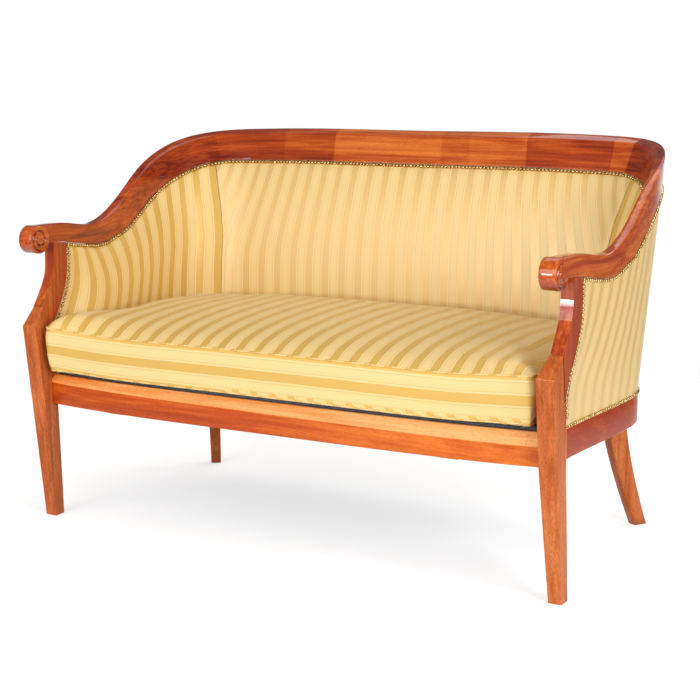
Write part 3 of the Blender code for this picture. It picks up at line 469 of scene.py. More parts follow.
def new_material(name):
    made = bpy.data.materials.new(name)
    made.use_nodes = True
    made.node_tree.nodes.clear()
    return made, made.node_tree


def close_material(tree, inputs, bump=None):
    """Ends a material in one shader, with its bump if it has one."""
    if bump:
        height, strength, distance = bump
        relief = put(tree, "ShaderNodeBump", {"Height": height, "Strength": strength, "Distance": distance})
        inputs = {**inputs, "Normal": relief.outputs[0]}
    shader = put(tree, "ShaderNodeBsdfPrincipled", inputs)
    put(tree, "ShaderNodeOutputMaterial", {"Surface": shader.outputs[0]})


def mahogany(name, dark, middle, light, roughness, coat, upright=False, staves_and_shading=None, joints="CONSTANT", level=0.88,
             figure=0.5, flecks=0.25, pale=None):
    """Mahogany: straight ribbon grain in long streaks some 8 mm wide, broad figure, short dark pores, under lacquer.

    The lacquer gives clear reflections over the warm wood. The grain follows its attribute, or stands upright."""
    made, tree = new_material(name)
    if upright:
        turned = {"Vector": own_place(tree), "Rotation": (0.0, math.pi / 2, 0.0)}
        where = put(tree, "ShaderNodeMapping", turned).outputs[0]
    else:
        where = put(tree, "ShaderNodeAttribute", attribute_name="grain").outputs["Vector"]
    # streaks 8 mm wide and 250 mm long
    streak = noise(tree, where, (4.0, 125.0, 125.0), 5.0, Roughness=0.62)
    # figure 40 mm wide and 350 mm long, bent by its own noise into flames
    broad = noise(tree, where, (2.8, 25.0, 25.0), 3.0, Distortion=0.8)
    # painted light and shade from the tone attribute: darker in the volutes' grooves, paler along the front rail's
    # upper edge
    painted_light_and_shade = put(tree, "ShaderNodeAttribute", attribute_name="tone").outputs["Fac"]
    value = maths(tree, "ADD", blend(tree, figure, streak, broad), painted_light_and_shade)
    if staves_and_shading:
        # glued lengths of wood, each with its own tone, joints a little aslant about the given level; with linear
        # joints the tones ease into one another as painted light and shade
        split = put(tree, "ShaderNodeSeparateXYZ", {"Vector": where}).outputs
        slant = maths(tree, "MULTIPLY_ADD", split[1], STAVE_SLANT, split[0])
        share = maths(tree, "MULTIPLY_ADD", slant, 1 / STAVE_SPAN, 0.5 - STAVE_SLANT * level / STAVE_SPAN)
        tone = ramp(tree, share, [(place / STAVE_SPAN + 0.5, tone) for place, tone in staves_and_shading], joints)
        value = maths(tree, "SUBTRACT", maths(tree, "ADD", tone, value), 0.5)
    colour = ramp(tree, value, [(0.30, dark), (0.50, middle), (0.72, light), (0.95, pale or light)])
    # pores 0.5 mm wide and 8 mm long, drawn about twice as coarse as real so that they show
    pores = ramp(tree, noise(tree, where, (110.0, 900.0, 900.0), 2.0), [(0.36, 1.0 - flecks), (0.50, 1.0)])
    both = {"Factor": 1.0, "A": colour, "B": pores}
    shade = put(tree, "ShaderNodeMix", both, data_type="RGBA", blend_type="MULTIPLY")
    inputs = {"Base Color": shade.outputs[2], "Roughness": roughness, "Specular IOR Level": 0.1}
    inputs.update({"Coat Weight": coat, "Coat Roughness": 0.04, "Coat IOR": 1.52})
    close_material(tree, inputs, (pores, 0.15 if coat > 0.5 else 0.35, 0.0002))
    return made


def plain_wood(name, dark, light):
    """Sawn beech: pale, matt, with fine straight grain; it is inside the frame."""
    made, tree = new_material(name)
    grain = noise(tree, own_place(tree), (20.0, 160.0, 160.0), 4.0)
    colour = ramp(tree, grain, [(0.35, dark), (0.65, light)])
    close_material(tree, {"Base Color": colour, "Roughness": 0.65}, (grain, 0.3, 0.0003))
    return made


def striped_satin(name, gold, shine, phase=0.0):
    """Woven satin stripe: smooth gold bands that mirror the light, matt cream between with two pin lines.

    The gold turns pale where it catches the light and deep where it doesn't. UV is in metres across and along."""
    made, tree = new_material(name)
    place = put(tree, "ShaderNodeUVMap", uv_map="stripe").outputs[0]
    split = put(tree, "ShaderNodeSeparateXYZ", {"Vector": place}).outputs
    # a slow drift of half a millimetre, as in cloth pulled by hand
    drift = noise(tree, place, (6.0, 14.0, 1.0), 1.0)
    moved = maths(tree, "MULTIPLY_ADD", drift, STRIPE_DRIFT, split[0])
    band = maths(tree, "FRACT", maths(tree, "MULTIPLY_ADD", moved, 1 / STRIPE_REPEAT, phase))
    mm = 0.001 / STRIPE_REPEAT
    edge, pin, cream = "#E3C484", "#D2AC62", "#E0C07E"
    runs = [(0.0, gold), (19.4, gold), (20.0, edge), (23.4, edge), (23.7, pin), (24.9, pin), (25.2, cream),
            (43.0, cream), (43.3, pin), (44.5, pin), (44.8, edge), (47.9, edge), (48.5, gold)]

    def banded(bright, rest):
        """One value on the gold and another on the rest."""
        steps = [(0.0, bright), (19.4, bright), (20.0, rest), (47.9, rest), (48.5, bright)]
        return ramp(tree, band, [(at * mm, value) for at, value in steps])

    colour = ramp(tree, band, [(at * mm, tint) for at, tint in runs])
    # weft ribs 0.8 mm apart, twice as coarse as the real weave so that they show close up
    ribs = noise(tree, place, (160.0, 1250.0, 1.0), 2.0)
    inputs = {"Base Color": colour, "Roughness": banded(0.38, 0.50), "Metallic": banded(0.12, 0.0)}
    inputs.update({"Specular IOR Level": shine, "Sheen Weight": 0.08, "Sheen Roughness": 0.4})
    close_material(tree, inputs, (ribs, 0.12, 0.0003))
    return made


def coarse_cloth(name, dark, light, thread):
    """A plain matt weave: threads over and under, the given spacing apart, with slubs."""
    made, tree = new_material(name)
    place = own_place(tree)
    scale = 1.0 / thread
    slub = scale * 0.08
    warp = noise(tree, place, (scale, slub, scale), 2.0)
    weft = noise(tree, place, (slub, scale, scale), 2.0)
    weave = maths(tree, "MULTIPLY", warp, weft)
    colour = ramp(tree, weave, [(0.16, dark), (0.36, light)])
    close_material(tree, {"Base Color": colour, "Roughness": 0.9, "Specular IOR Level": 0.2}, (weave, 0.5, 0.0006))
    return made


def curled_hair(name):
    """Curled horsehair: a dark springy tangle, matt."""
    made, tree = new_material(name)
    tangle = {"Vector": own_place(tree), "Scale": 260.0, "Detail": 4.0, "Distortion": 3.0}
    strands = put(tree, "ShaderNodeTexNoise", tangle).outputs[0]
    colour = ramp(tree, strands, [(0.35, "#1E1712"), (0.65, "#5A4433")])
    close_material(tree, {"Base Color": colour, "Roughness": 0.9}, (strands, 0.8, 0.002))
    return made


def old_brass(name):
    """Brass nail heads, lacquered and a little tarnished: warm metal, bright on the dome."""
    made, tree = new_material(name)
    blotches = {"Vector": own_place(tree), "Scale": 180.0, "Detail": 2.0}
    tarnish = put(tree, "ShaderNodeTexNoise", blotches).outputs[0]
    colour = ramp(tree, tarnish, [(0.35, "#A8803F"), (0.62, "#E4C288")])
    rough = ramp(tree, tarnish, [(0.35, 0.36), (0.62, 0.20)])
    close_material(tree, {"Base Color": colour, "Roughness": rough, "Metallic": 1.0})
    return made


# where each glued length starts, in metres from the middle of the back, and its tone
STAVES = [(-1.40, 0.46), (-0.90, 0.42), (-0.625, 0.45), (-0.396, 0.50), (-0.248, 0.62), (0.055, 0.56), (0.138, 0.60),
          (0.286, 0.48), (0.518, 0.58), (0.590, 0.42), (0.80, 0.54)]
CREST_WOOD = mahogany("polished_mahogany_crest", "#681602", "#AC400E", "#DC762C", 0.36, 1.0, staves_and_shading=STAVES)
# painted light and shade along the seat rails: the front rail lighter towards its right end, where the light falls and
# its highlight sits, and the side rails darker
RAIL_PAINTED_SHADING = [(-1.40, 0.34), (-0.64, 0.42), (-0.20, 0.50), (0.30, 0.58), (0.64, 0.62), (0.70, 0.42), (1.00, 0.34)]
RAIL_WOOD = mahogany("polished_mahogany_rail", "#9A3209", "#BA4B10", "#E27A28", 0.36, 0.25, staves_and_shading=RAIL_PAINTED_SHADING,
                     joints="LINEAR", level=0.32, figure=0.6, pale="#EEA868")
POST_WOOD = mahogany("polished_mahogany_post", "#6C1C06", "#A63E12", "#D27032", 0.36, 1.0, upright=True)
LEG_WOOD = mahogany("satin_mahogany_leg", "#8E3E16", "#BC5E2C", "#D8844A", 0.45, 0.12, upright=True, flecks=0.4)
BEECH = plain_wood("sawn_beech", "#B98F62", "#D8B488")
SATIN = striped_satin("striped_satin", "#D2A852", 0.5)
# the same satin with a paler gold: painted sheen for the back pad and the outside side covers, where the gold catches
# the light
PAINTED_SHEEN_SATIN = striped_satin("striped_satin_painted_sheen", "#DAB46C", 0.9, -0.258)
PLATFORM_CLOTH = coarse_cloth("slate_platform_cloth", "#2B2E35", "#5A5F69", 0.0012)
JUTE = coarse_cloth("jute_webbing", "#7C6444", "#B99B6C", 0.0018)
DUST_CLOTH = coarse_cloth("black_dust_cloth", "#15151A", "#33333A", 0.0010)
HAIR = curled_hair("curled_hair")
BRASS = old_brass("brass_nail_heads")

# ---------------------------------------------------------------- show wood


def top_ring(share):
    return filleted(top_corners(share), (TOP_ROUND, TOP_ROUND, 0.0015, 0.0015))


def top_places(share):
    """Grain of a ring of the top rail: distance from the middle of the back, then round the section."""
    corners = top_corners(share)
    along = top_length(1.0) - top_length(share)
    return [(along, point.z, (point - corners[0]).length) for point in top_ring(share)]


def swept_rail(start, end, ring, places):
    """A length of the top rail or the seat rail, drawn on the right."""
    marks = stations(start, end)
    mesh = skin([ring(mark) for mark in marks])
    set_grain(mesh, [place for mark in marks for place in places(mark)])
    set_tone(mesh, [0.0] * len(mesh.vertices))
    return finished(mesh)


def pair(name, mesh, material, node):
    """Right-hand and left-hand pieces in place of two CAD nodes; grain is mirrored to run on across the back."""
    left = mirrored(mesh)
    for item in left.attributes["grain"].data:
        item.vector.x *= -1.0
    piece(name + "_right", mesh, material, (node + "_right",))
    piece(name + "_left", left, material, (node + "_left",))


def scroll_drum():
    """The volute at the front of the arm: a short drum with a spiral groove in both faces."""
    half = SCROLL_WIDTH / 2
    spokes, steps = 96, 22
    profile = [(0.0006 + (SCROLL_RADIUS - 0.0026) * i / steps, half) for i in range(steps + 1)]
    profile += [(SCROLL_RADIUS - 0.0006, half - 0.0006), (SCROLL_RADIUS, half - 0.002), (SCROLL_RADIUS, half - 0.010)]
    profile += [(r, -x) for r, x in reversed(profile)]
    rings, painted_shade = [], []
    for radius, x in profile:
        ring = []
        for k in range(spokes):
            turn = 2.0 * math.pi * k / spokes
            dent = 0.0
            if radius < SCROLL_RADIUS - 0.003:
                for lap in range(3):
                    share = ((-math.pi / 2 - turn) / (2.0 * math.pi) % 1.0 + lap) / GROOVE_TURNS
                    if share <= 1.0:
                        off = abs(radius - mix(GROOVE_OUTER, GROOVE_INNER, share))
                        dent = max(dent, GROOVE_DEPTH * max(0.0, 1.0 - (off / GROOVE_DEPTH) ** 2))
            depth = x - math.copysign(dent, x)
            y, z = SCROLL_Y + radius * math.cos(turn), SCROLL_Z + radius * math.sin(turn)
            ring.append(Vector((SCROLL_X + depth, y, z)))
            # painted shade: darker in the spiral groove, and the whole drum a little darker
            painted_shade.append(-0.30 * dent / GROOVE_DEPTH - 0.13)
        rings.append(ring)
    mesh = skin(rings)
    set_grain(mesh, [(p.y, p.z, p.x) for ring in rings for p in ring])
    set_tone(mesh, painted_shade)
    return finished(mesh, 50.0)


def make_top_rail():
    joint = share_at_y(TOP_PLAN, ARM_JOINT_Y)
    corner_end = share_at_x(TOP_PLAN, CREST_JOINT_X)
    middle = share_at_x(TOP_PLAN, CREST_MIDDLE_X)
    bar = swept_rail(share_at_y(TOP_PLAN, SCROLL_Y), joint, top_ring, top_places)
    pair("arm", smoothed(joined(bar, scroll_drum()), 45.0), CREST_WOOD, "arm")
    for name, start, end in (("crest_corner", joint, corner_end), ("crest_rail", corner_end, middle)):
        pair(name + "_wood", swept_rail(start, end, top_ring, top_places), CREST_WOOD, name)
    marks = stations(middle, 1.0)
    mesh = skin(whole([top_ring(mark) for mark in marks]))
    places = [top_places(mark) for mark in marks]
    places += [[(-a, b, c) for a, b, c in row] for row in reversed(places[:-1])]
    set_grain(mesh, [place for row in places for place in row])
    piece("crest_rail_wood_middle", finished(mesh), CREST_WOOD, ("crest_rail_middle",))


def seat_ring(share):
    outer = Vector((*plan(SEAT_PLAN, share), RAIL_LOW))
    inner = outer + inward(SEAT_PLAN, share) * RAIL_THICKNESS
    up = Vector((0.0, 0.0, SIDE_RAIL_TOP - RAIL_LOW))
    return filleted((outer + up, inner + up, inner, outer), (0.0012, 0.001, 0.001, 0.003))


def seat_places(share):
    along = SEAT_GRAIN_LENGTH - SEAT_GRAIN_LENGTH * share
    return [(along, point.z, point.length) for point in seat_ring(share)]


def cross_rail(rings):
    """A rail from left to right, with the grain along it."""
    mesh = skin(rings)
    set_grain(mesh, [(p.x, p.z, p.y) for ring in rings for p in ring])
    return mesh


def make_seat_rails():
    start = share_at_y(SEAT_PLAN, LEG_BACK_Y + HAIRLINE)
    for name, node, low, high in (("side_rail_wood", "side_seat_rail", start, SIDE_SHARE),
                                  ("seat_corner_wood", "seat_corner", SIDE_SHARE, CORNER_SHARE)):
        pair(name, swept_rail(low, high, seat_ring, seat_places), RAIL_WOOD, node)
    mesh = cross_rail(whole([seat_ring(mark) for mark in stations(CORNER_SHARE, 1.0)]))
    piece("back_rail_wood", finished(mesh), RAIL_WOOD, ("back_seat_rail",))
    end = LEG_INNER_X - RAIL_END_GAP
    rings = []
    for i in range(121):
        x = mix(-end, end, i / 120)
        front, back = front_rail_y(x), LEG_BACK_Y - HAIRLINE
        section = [(front, RAIL_LOW), (front, FRONT_RAIL_TOP - FRONT_RAIL_CHAMFER),
                   (front + FRONT_RAIL_CHAMFER, FRONT_RAIL_TOP), (back, FRONT_RAIL_TOP), (back, RAIL_LOW)]
        ring = filleted([Vector((x, y, z)) for y, z in section], (0.002, 0.0012, 0.0012, 0.001, 0.001), 3)
        line = FRONT_RAIL_TOP - mix(PAINTED_LIGHT_DROP_LEFT, PAINTED_LIGHT_DROP_RIGHT, i / 120)
        rings.append(ring[:4] + [Vector((x, front, line - 0.0015)), Vector((x, front, line))] + ring[4:])
    mesh = cross_rail(rings)
    # painted light: paler from that line up over the chamfer, where the rail's upper edge faces the light from above
    set_tone(mesh, [FRONT_RAIL_PAINTED_LIGHT if 5 <= k <= 13 else 0.0 for ring in rings for k in range(len(ring))])
    piece("front_rail_wood", finished(mesh), RAIL_WOOD, ("front_seat_rail",))


def merged_copy(node, angle):
    """A CAD node's mesh welded and shaded smooth up to an edge angle."""
    def weld(work):
        bmesh.ops.remove_doubles(work, verts=work.verts, dist=1e-5)

    return smoothed(worked(weld, bpy.data.meshes.new(node), nodes[node].data), angle)


def bare_material(name):
    """The material of a CAD node that is shown as it is."""
    if name.startswith("front_leg"):
        return LEG_WOOD
    if "dowel" in name or "block" in name or "stile" in name:
        return BEECH
    return JUTE if name == "seat_webbing" else None


make_top_rail()
make_seat_rails()
for side in ("left", "right"):
    post, leg = "arm_post_" + side, "rear_leg_" + side
    piece("post_wood_" + side, merged_copy(post, 12), POST_WOOD, (post,))
    piece("rear_leg_wood_" + side, merged_copy(leg, 40), LEG_WOOD, (leg,))
for name, node in nodes.items():
    material = bare_material(name)
    if material:
        node.data.materials.clear()
        node.data.materials.append(material)

# ---------------------------------------------------------------- upholstery of the sides and back


def pad_roll(rise):
    """How far the pad has gone back from the seat to the rail: a steady lean, then a roll near the top."""
    lean = max(0.0, (rise - PAD_LEAN_START) / (1.0 - PAD_LEAN_START))
    roll = max(0.0, (rise - PAD_ROLL_START) / (1.0 - PAD_ROLL_START)) ** PAD_ROLL_POWER
    return mix(roll, lean, PAD_LEAN)


def pad_seam(rise):
    """The seam between the arm pad and the back pad, further round the corner low down."""
    return float(np.interp(rise, [at for at, _ in PAD_SEAM], [share for _, share in PAD_SEAM]))


def behind_post(place):
    return max(0.0, place.y - post_back_y(place.z))


def near_post(place, rise):
    """How far the stuffing is drawn back to the post: all the way at its edge, not at all a hand's breadth behind."""
    return math.exp(-(behind_post(place) / PAD_POST_REACH) ** 2) * ease((rise - 0.12) / 0.25)


def pad_face(share, rise):
    """Inner face of the pad: upright over the seat, rolling back to the nails under the rail."""
    depth = pad_depth(share)
    low, high = seat_point(share, depth), under_rail(share, under_width(share))
    swell = max(0.0, (rise - PAD_CROWN_START) / (1.0 - PAD_CROWN_START))
    crown = PAD_CROWN * depth / PAD_SEAT_DEPTH * 4.0 * swell * (1.0 - swell)
    place = low.lerp(high, pad_roll(rise))
    place.z = mix(low.z, high.z, rise)
    place += inward(SEAT_PLAN, share) * crown
    place.x = mix(place.x, max(place.x, POST_INNER_X - 0.001), near_post(place, rise))
    return place


def pad_back(share, rise):
    depth = pad_depth(share)
    thick = PAD_SEAT_THICKNESS * depth / PAD_SEAT_DEPTH
    low = seat_point(share, depth - thick)
    place = low.lerp(under_rail(share, under_width(share) - PAD_TOP_THICKNESS), rise)
    place.x = mix(place.x, max(place.x, POST_INNER_X + 0.002), near_post(place, rise))
    return place


def cover_at(share, rise, inset):
    """The outside cover: straight from the seat rail to the top rail, drawn out flush with the post at its edge."""
    place = seat_point(share, inset).lerp(under_rail(share, inset), rise)
    drawn = math.exp(-(behind_post(place) / COVER_POST_REACH) ** 2) * ease((rise + 0.02) / 0.16)
    place.x = mix(place.x, max(place.x, LEG_OUTER_X - inset), drawn)
    return place


def cover_face(share, rise):
    return cover_at(share, rise, COVER_INSET)


def cover_back(share, rise):
    return cover_at(share, rise, COVER_INSET + COVER_THICKNESS)


def post_share(surface, rise):
    """Where a surface of the side meets the back edge of the post, at a rise."""
    share = 0.05
    for _ in range(12):
        point = surface(share, rise)
        share += share_at_y(SEAT_PLAN, post_back_y(point.z) + POST_GAP - point.y)
    return share


def seam_dent(distance, depth, reach):
    """How far the cloth is pulled in near a seam or a row of nails."""
    return depth * math.exp(-(distance / reach) ** 2)


def upholstered(surface, backing, first, last, columns, rows, seams, pull=PAD_PULL, stripes="between", steady=0.0):
    """A stuffed panel between two shares, given at each rise: its face pulled in at the nails and at its seams.

    Its stripes, in metres, run between its two ends, or stand upright from the middle of the back or fan out from it.
    """
    spans = [(r / rows, first(r / rows), last(r / rows)) for r in range(rows + 1)]
    grid = [[(mix(start, end, c / columns), rise) for rise, start, end in spans] for c in range(columns + 1)]
    face = [[surface(share, rise) for share, rise in column] for column in grid]
    across = [[0.0] * (rows + 1)]
    for before, after in zip(face, face[1:]):
        across.append([u + (b - a).length for u, a, b in zip(across[-1], before, after)])
    middle_width = across[-1][rows // 2]
    rings, stripe = [], []
    for c, column in enumerate(grid):
        front, back, pairs = [], [], []
        up = 0.0
        tall = sum((b - a).length for a, b in zip(face[c], face[c][1:]))
        for r, (share, rise) in enumerate(column):
            if r:
                up += (face[c][r] - face[c][r - 1]).length
            right, left = across[c][r], across[-1][r] - across[c][r]
            dent = seam_dent(tall - up, pull, NAIL_REACH)
            for seam, distance in zip(seams, (right, left)):
                dent += seam_dent(distance, SEAM_PULL * pull if seam else 0.0, SEAM_REACH)
            waves = math.sin(right / GATHER_WAVES[0]) + math.sin(right / GATHER_WAVES[1] + 1.7)
            gather = math.exp(-(tall - up) / GATHER_REACH) * waves
            behind = backing(share, rise)
            through = behind - face[c][r]
            front.append(face[c][r] + through.normalized() * min(through.length * 0.8, dent + GATHER * gather))
            back.append(behind)
            place = left
            if stripes == "between":
                place = mix(left, middle_width * (1.0 - c / columns), steady or ease(left / 0.45))
            elif stripes == "fan":
                place += STRIPE_FAN * ease((rise - 0.45) / 0.55) * left * left / 0.5
            pairs.append((place, up))
        rings.append(front + back[::-1])
        stripe.append(pairs + pairs[::-1] + [pairs[0]])
    return skin(rings, stripe)


def whole_width(half):
    """A right-hand half and its mirror image welded along the middle; stripes keep their count from the middle."""
    def weld(work):
        inner = [f for f in work.faces if all(abs(v.co.x) < 1e-5 for v in f.verts)]
        bmesh.ops.delete(work, geom=inner, context="FACES_ONLY")
        bmesh.ops.remove_doubles(work, verts=work.verts, dist=2e-5)

    left = mirrored(half)
    for item in left.uv_layers["stripe"].data:
        item.uv.x *= -1.0
    made = joined(half, left)
    return worked(weld, made, made)


def make_upholstery():
    arm = finished(upholstered(pad_face, pad_back, lambda rise: post_share(pad_face, rise),
                               lambda rise: pad_seam(rise) - 0.001, 70, 56, (True, True)), SOFT_EDGE)
    for side, mesh in (("right", arm), ("left", mirrored(arm))):
        made = piece("arm_pad_cover_" + side, mesh, SATIN, ("arm_pad_" + side,))
    half = upholstered(pad_face, pad_back, lambda rise: pad_seam(rise) + 0.001, lambda rise: 1.0, 80, 56,
                       (True, False), stripes="fan")
    made = piece("back_pad_cover", finished(whole_width(half), SOFT_EDGE), PAINTED_SHEEN_SATIN, ("back_pad",))
    cover = finished(upholstered(cover_face, cover_back, lambda rise: post_share(cover_face, rise), lambda rise: 0.60,
                                 50, 24, (True, False), COVER_PULL, steady=0.7), SOFT_EDGE)
    for side, mesh in (("right", cover), ("left", mirrored(cover))):
        made = piece("side_cover_cloth_" + side, mesh, PAINTED_SHEEN_SATIN, ("outside_side_cover_" + side,))
    half = upholstered(cover_face, cover_back, lambda rise: 0.6005, lambda rise: 1.0, 70, 24, (False, False),
                       COVER_PULL, "upright")
    mesh = finished(whole_width(half), SOFT_EDGE)
    made = piece("back_cover_cloth", mesh, SATIN, ("outside_back_cover",))


make_upholstery()

# ---------------------------------------------------------------- seat: platform, stuffing, dust cover, loose cushion


def seat_outline(front_y, corner, spacing):
    """Plan inside the pads, anticlockwise from the middle of the back, with even spacing."""
    half = []
    start = share_at_y(SEAT_PLAN, CUSHION_CORNER_Y)
    for i in range(81):
        share = mix(1.0, start, i / 80)
        toward = inward(SEAT_PLAN, share) * (pad_depth(share) + CUSHION_CLEARANCE)
        x, y = plan(SEAT_PLAN, share)
        half.append((x + toward.x, y + toward.y))
    front_x = CUSHION_WIDEST - corner
    corner_y = front_y(CUSHION_WIDEST)
    for i in range(13):
        t = i / 12
        bend = (1.0 - t) ** 2 * (corner_y + corner) + 2.0 * t * (1.0 - t) * corner_y + t * t * front_y(front_x)
        half.append((mix(CUSHION_WIDEST, front_x, t * t), bend))
    for i in range(1, 41):
        x = front_x * (1.0 - i / 40)
        half.append((x, front_y(x)))
    line = np.array(half)
    lengths = np.concatenate([[0.0], np.cumsum(np.linalg.norm(np.diff(line, axis=0), axis=1))])
    count = round(lengths[-1] / spacing)
    even = np.linspace(0.0, lengths[-1], count + 1)
    right = np.stack([np.interp(even, lengths, line[:, 0]), np.interp(even, lengths, line[:, 1])], axis=1)
    left = right[1:-1][::-1] * (-1.0, 1.0)
    return np.concatenate([right, left])[::-1]


def edges_of(outline):
    return zip(outline, np.roll(outline, -1, axis=0))


def drawn_in(outline, inset):
    """An outline moved inwards by the inset along its own normals."""
    ahead, behind = np.roll(outline, -1, axis=0), np.roll(outline, 1, axis=0)
    along = ahead - behind
    along /= np.linalg.norm(along, axis=1)[:, None]
    normal = np.stack([-along[:, 1], along[:, 0]], axis=1)
    return outline + normal * inset


def filled(outline, spacing):
    """Points and triangles inside an outline; its own points come first."""
    low, high = outline.min(axis=0), outline.max(axis=0)
    inner = []
    for i, x in enumerate(np.arange(low[0] + spacing, high[0], spacing)):
        for y in np.arange(low[1] + spacing * (1.0 if i % 2 else 0.5), high[1], spacing):
            inner.append((x, y))
    inner = np.array(inner)
    gaps = np.full(len(inner), 1e9)
    turns = np.zeros(len(inner))
    for a, b in edges_of(outline):
        gaps = np.minimum(gaps, np.hypot(*(inner - a).T))
        va, vb = a - inner, b - inner
        turns += np.arctan2(va[:, 0] * vb[:, 1] - va[:, 1] * vb[:, 0], (va * vb).sum(axis=1))
    inner = inner[(gaps > spacing * 0.7) & (np.abs(turns) > 3.0)]
    points = [Vector(p) for p in np.concatenate([outline, inner])]
    rim = list(range(len(outline)))
    made = delaunay_2d_cdt(points, [], [rim], 1, 1e-7)
    return np.array([tuple(p) for p in made[0]]), [tuple(f) for f in made[2]]


def rim_distance(points, outline):
    gaps = np.full(len(points), 1e9)
    for a, b in edges_of(outline):
        ab = b - a
        t = np.clip(((points - a) @ ab) / (ab @ ab), 0.0, 1.0)
        gaps = np.minimum(gaps, np.hypot(*(points - a - t[:, None] * ab).T))
    return gaps


def make_platform():
    outline = seat_outline(lambda x: front_rail_y(x) + FRONT_RAIL_CHAMFER + PLATFORM_MARGIN, PLATFORM_CORNER, 0.014)
    rings = []
    for inset, rise in PLATFORM_EDGE:
        z = PLATFORM_LOW + PLATFORM_THICKNESS * rise
        rings.append([(x, y, z) for x, y in drawn_in(outline, inset)])
    made = piece("platform", finished(skin(rings), SOFT_EDGE), PLATFORM_CLOTH, ("seat_platform",))


def make_stuffing():
    low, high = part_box("seat_stuffing")
    middle = (low.y + high.y) / 2
    rings = []
    for inset, rise in STUFFING_EDGE:
        ring = []
        for k in range(96):
            turn = 2.0 * math.pi * k / 96
            c, s = math.cos(turn), math.sin(turn)
            x = math.copysign(abs(c) ** 0.22, c) * ((high.x - low.x) / 2 - inset)
            y = math.copysign(abs(s) ** 0.22, s) * ((high.y - low.y) / 2 - inset)
            lump = 0.0015 * math.sin(9 * turn + 5 * rise) * (1.0 if 0.0 < rise < 0.95 else 0.0)
            ring.append((x - math.copysign(abs(lump), x), y + middle + MIDDLE_Y, mix(low.z, high.z, rise)))
        rings.append(ring)
    made = piece("hair_stuffing", finished(skin(rings), SOFT_EDGE), HAIR, ("seat_stuffing",))


def make_dust_cover():
    low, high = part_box("dust_cover")
    corner_x, corner_y, side_x = SEAT_PLAN["corner_x"], SEAT_PLAN["corner_y"], high.x
    front, back = low.y + MIDDLE_Y, high.y + MIDDLE_Y
    half = [(corner_x, back), (corner_x + 0.02, corner_y + 0.075), (side_x, corner_y + 0.02), (side_x, front)]
    corners = np.array(half[::-1] + [(-x, y) for x, y in half])[::-1]
    edge = []
    for a, b in edges_of(corners):
        count = max(1, round(np.linalg.norm(b - a) / DUST_SPACING))
        edge += [a + (b - a) * i / count for i in range(count)]
    edge = np.array(edge)
    outline = edge[::-1]
    points, faces = filled(outline, DUST_SPACING)
    sag = DUST_SAG * (1.0 - np.exp(-rim_distance(points, outline) / DUST_SAG_REACH))
    mesh = drawn([(x, y, high.z - s) for (x, y), s in zip(points, sag)], [f[::-1] for f in faces])
    made = piece("dust_cover_cloth", finished(mesh, SOFT_EDGE, turn=False), DUST_CLOTH, ("dust_cover",))
    wall = made.modifiers.new("cloth thickness", "SOLIDIFY")
    wall.thickness = 0.001
    wall.offset = 1.0


def corner_lift(x, y):
    """How far a front corner of the cushion is lifted."""
    away = (abs(x) - CUSHION_WIDEST) ** 2 + (y - CUSHION_FRONT_Y) ** 2
    return CUSHION_LIFT * math.exp(-away / CUSHION_LIFT_REACH ** 2)


def seam_height(x, y, high):
    """The seams of the cushion: the upper one arches over the middle and both lift at the front corners."""
    lift = corner_lift(x, y)
    if high:
        return CUSHION_LOW + 0.002 + CUSHION_BOXING + CUSHION_ARCH * (1.0 - (x / CUSHION_WIDEST) ** 2) + lift
    return CUSHION_LOW - 0.001 + 0.6 * lift


def back_corner_drop(x, y):
    """The filling is sat down in the back corners."""
    return CUSHION_SINK * math.exp(-((abs(x) - SINK_X) / SINK_WIDTH) ** 2 - ((y - SINK_Y) / SINK_DEPTH) ** 2)


def evened(heights, faces, fixed, rounds):
    """Heights over a triangle mesh eased towards their neighbours' mean; the first ones, on the rim, stay."""
    ends = np.array([(a, b) for face in faces for a, b in zip(face, face[1:] + face[:1])])
    ends = np.concatenate([ends, ends[:, ::-1]])
    sums = np.bincount(ends[:, 0], minlength=len(heights))
    for _ in range(rounds):
        mean = np.bincount(ends[:, 0], weights=heights[ends[:, 1]], minlength=len(heights)) / np.maximum(sums, 1)
        heights[fixed:] += 0.6 * (mean - heights)[fixed:]
    return heights


def cushion_front(x):
    """The cushion's front edge: its corners are sat forward, the left one more."""
    return CUSHION_FRONT_Y - (CUSHION_EAR_LEFT if x < 0.0 else CUSHION_EAR_RIGHT) * abs(x / CUSHION_WIDEST) ** 3


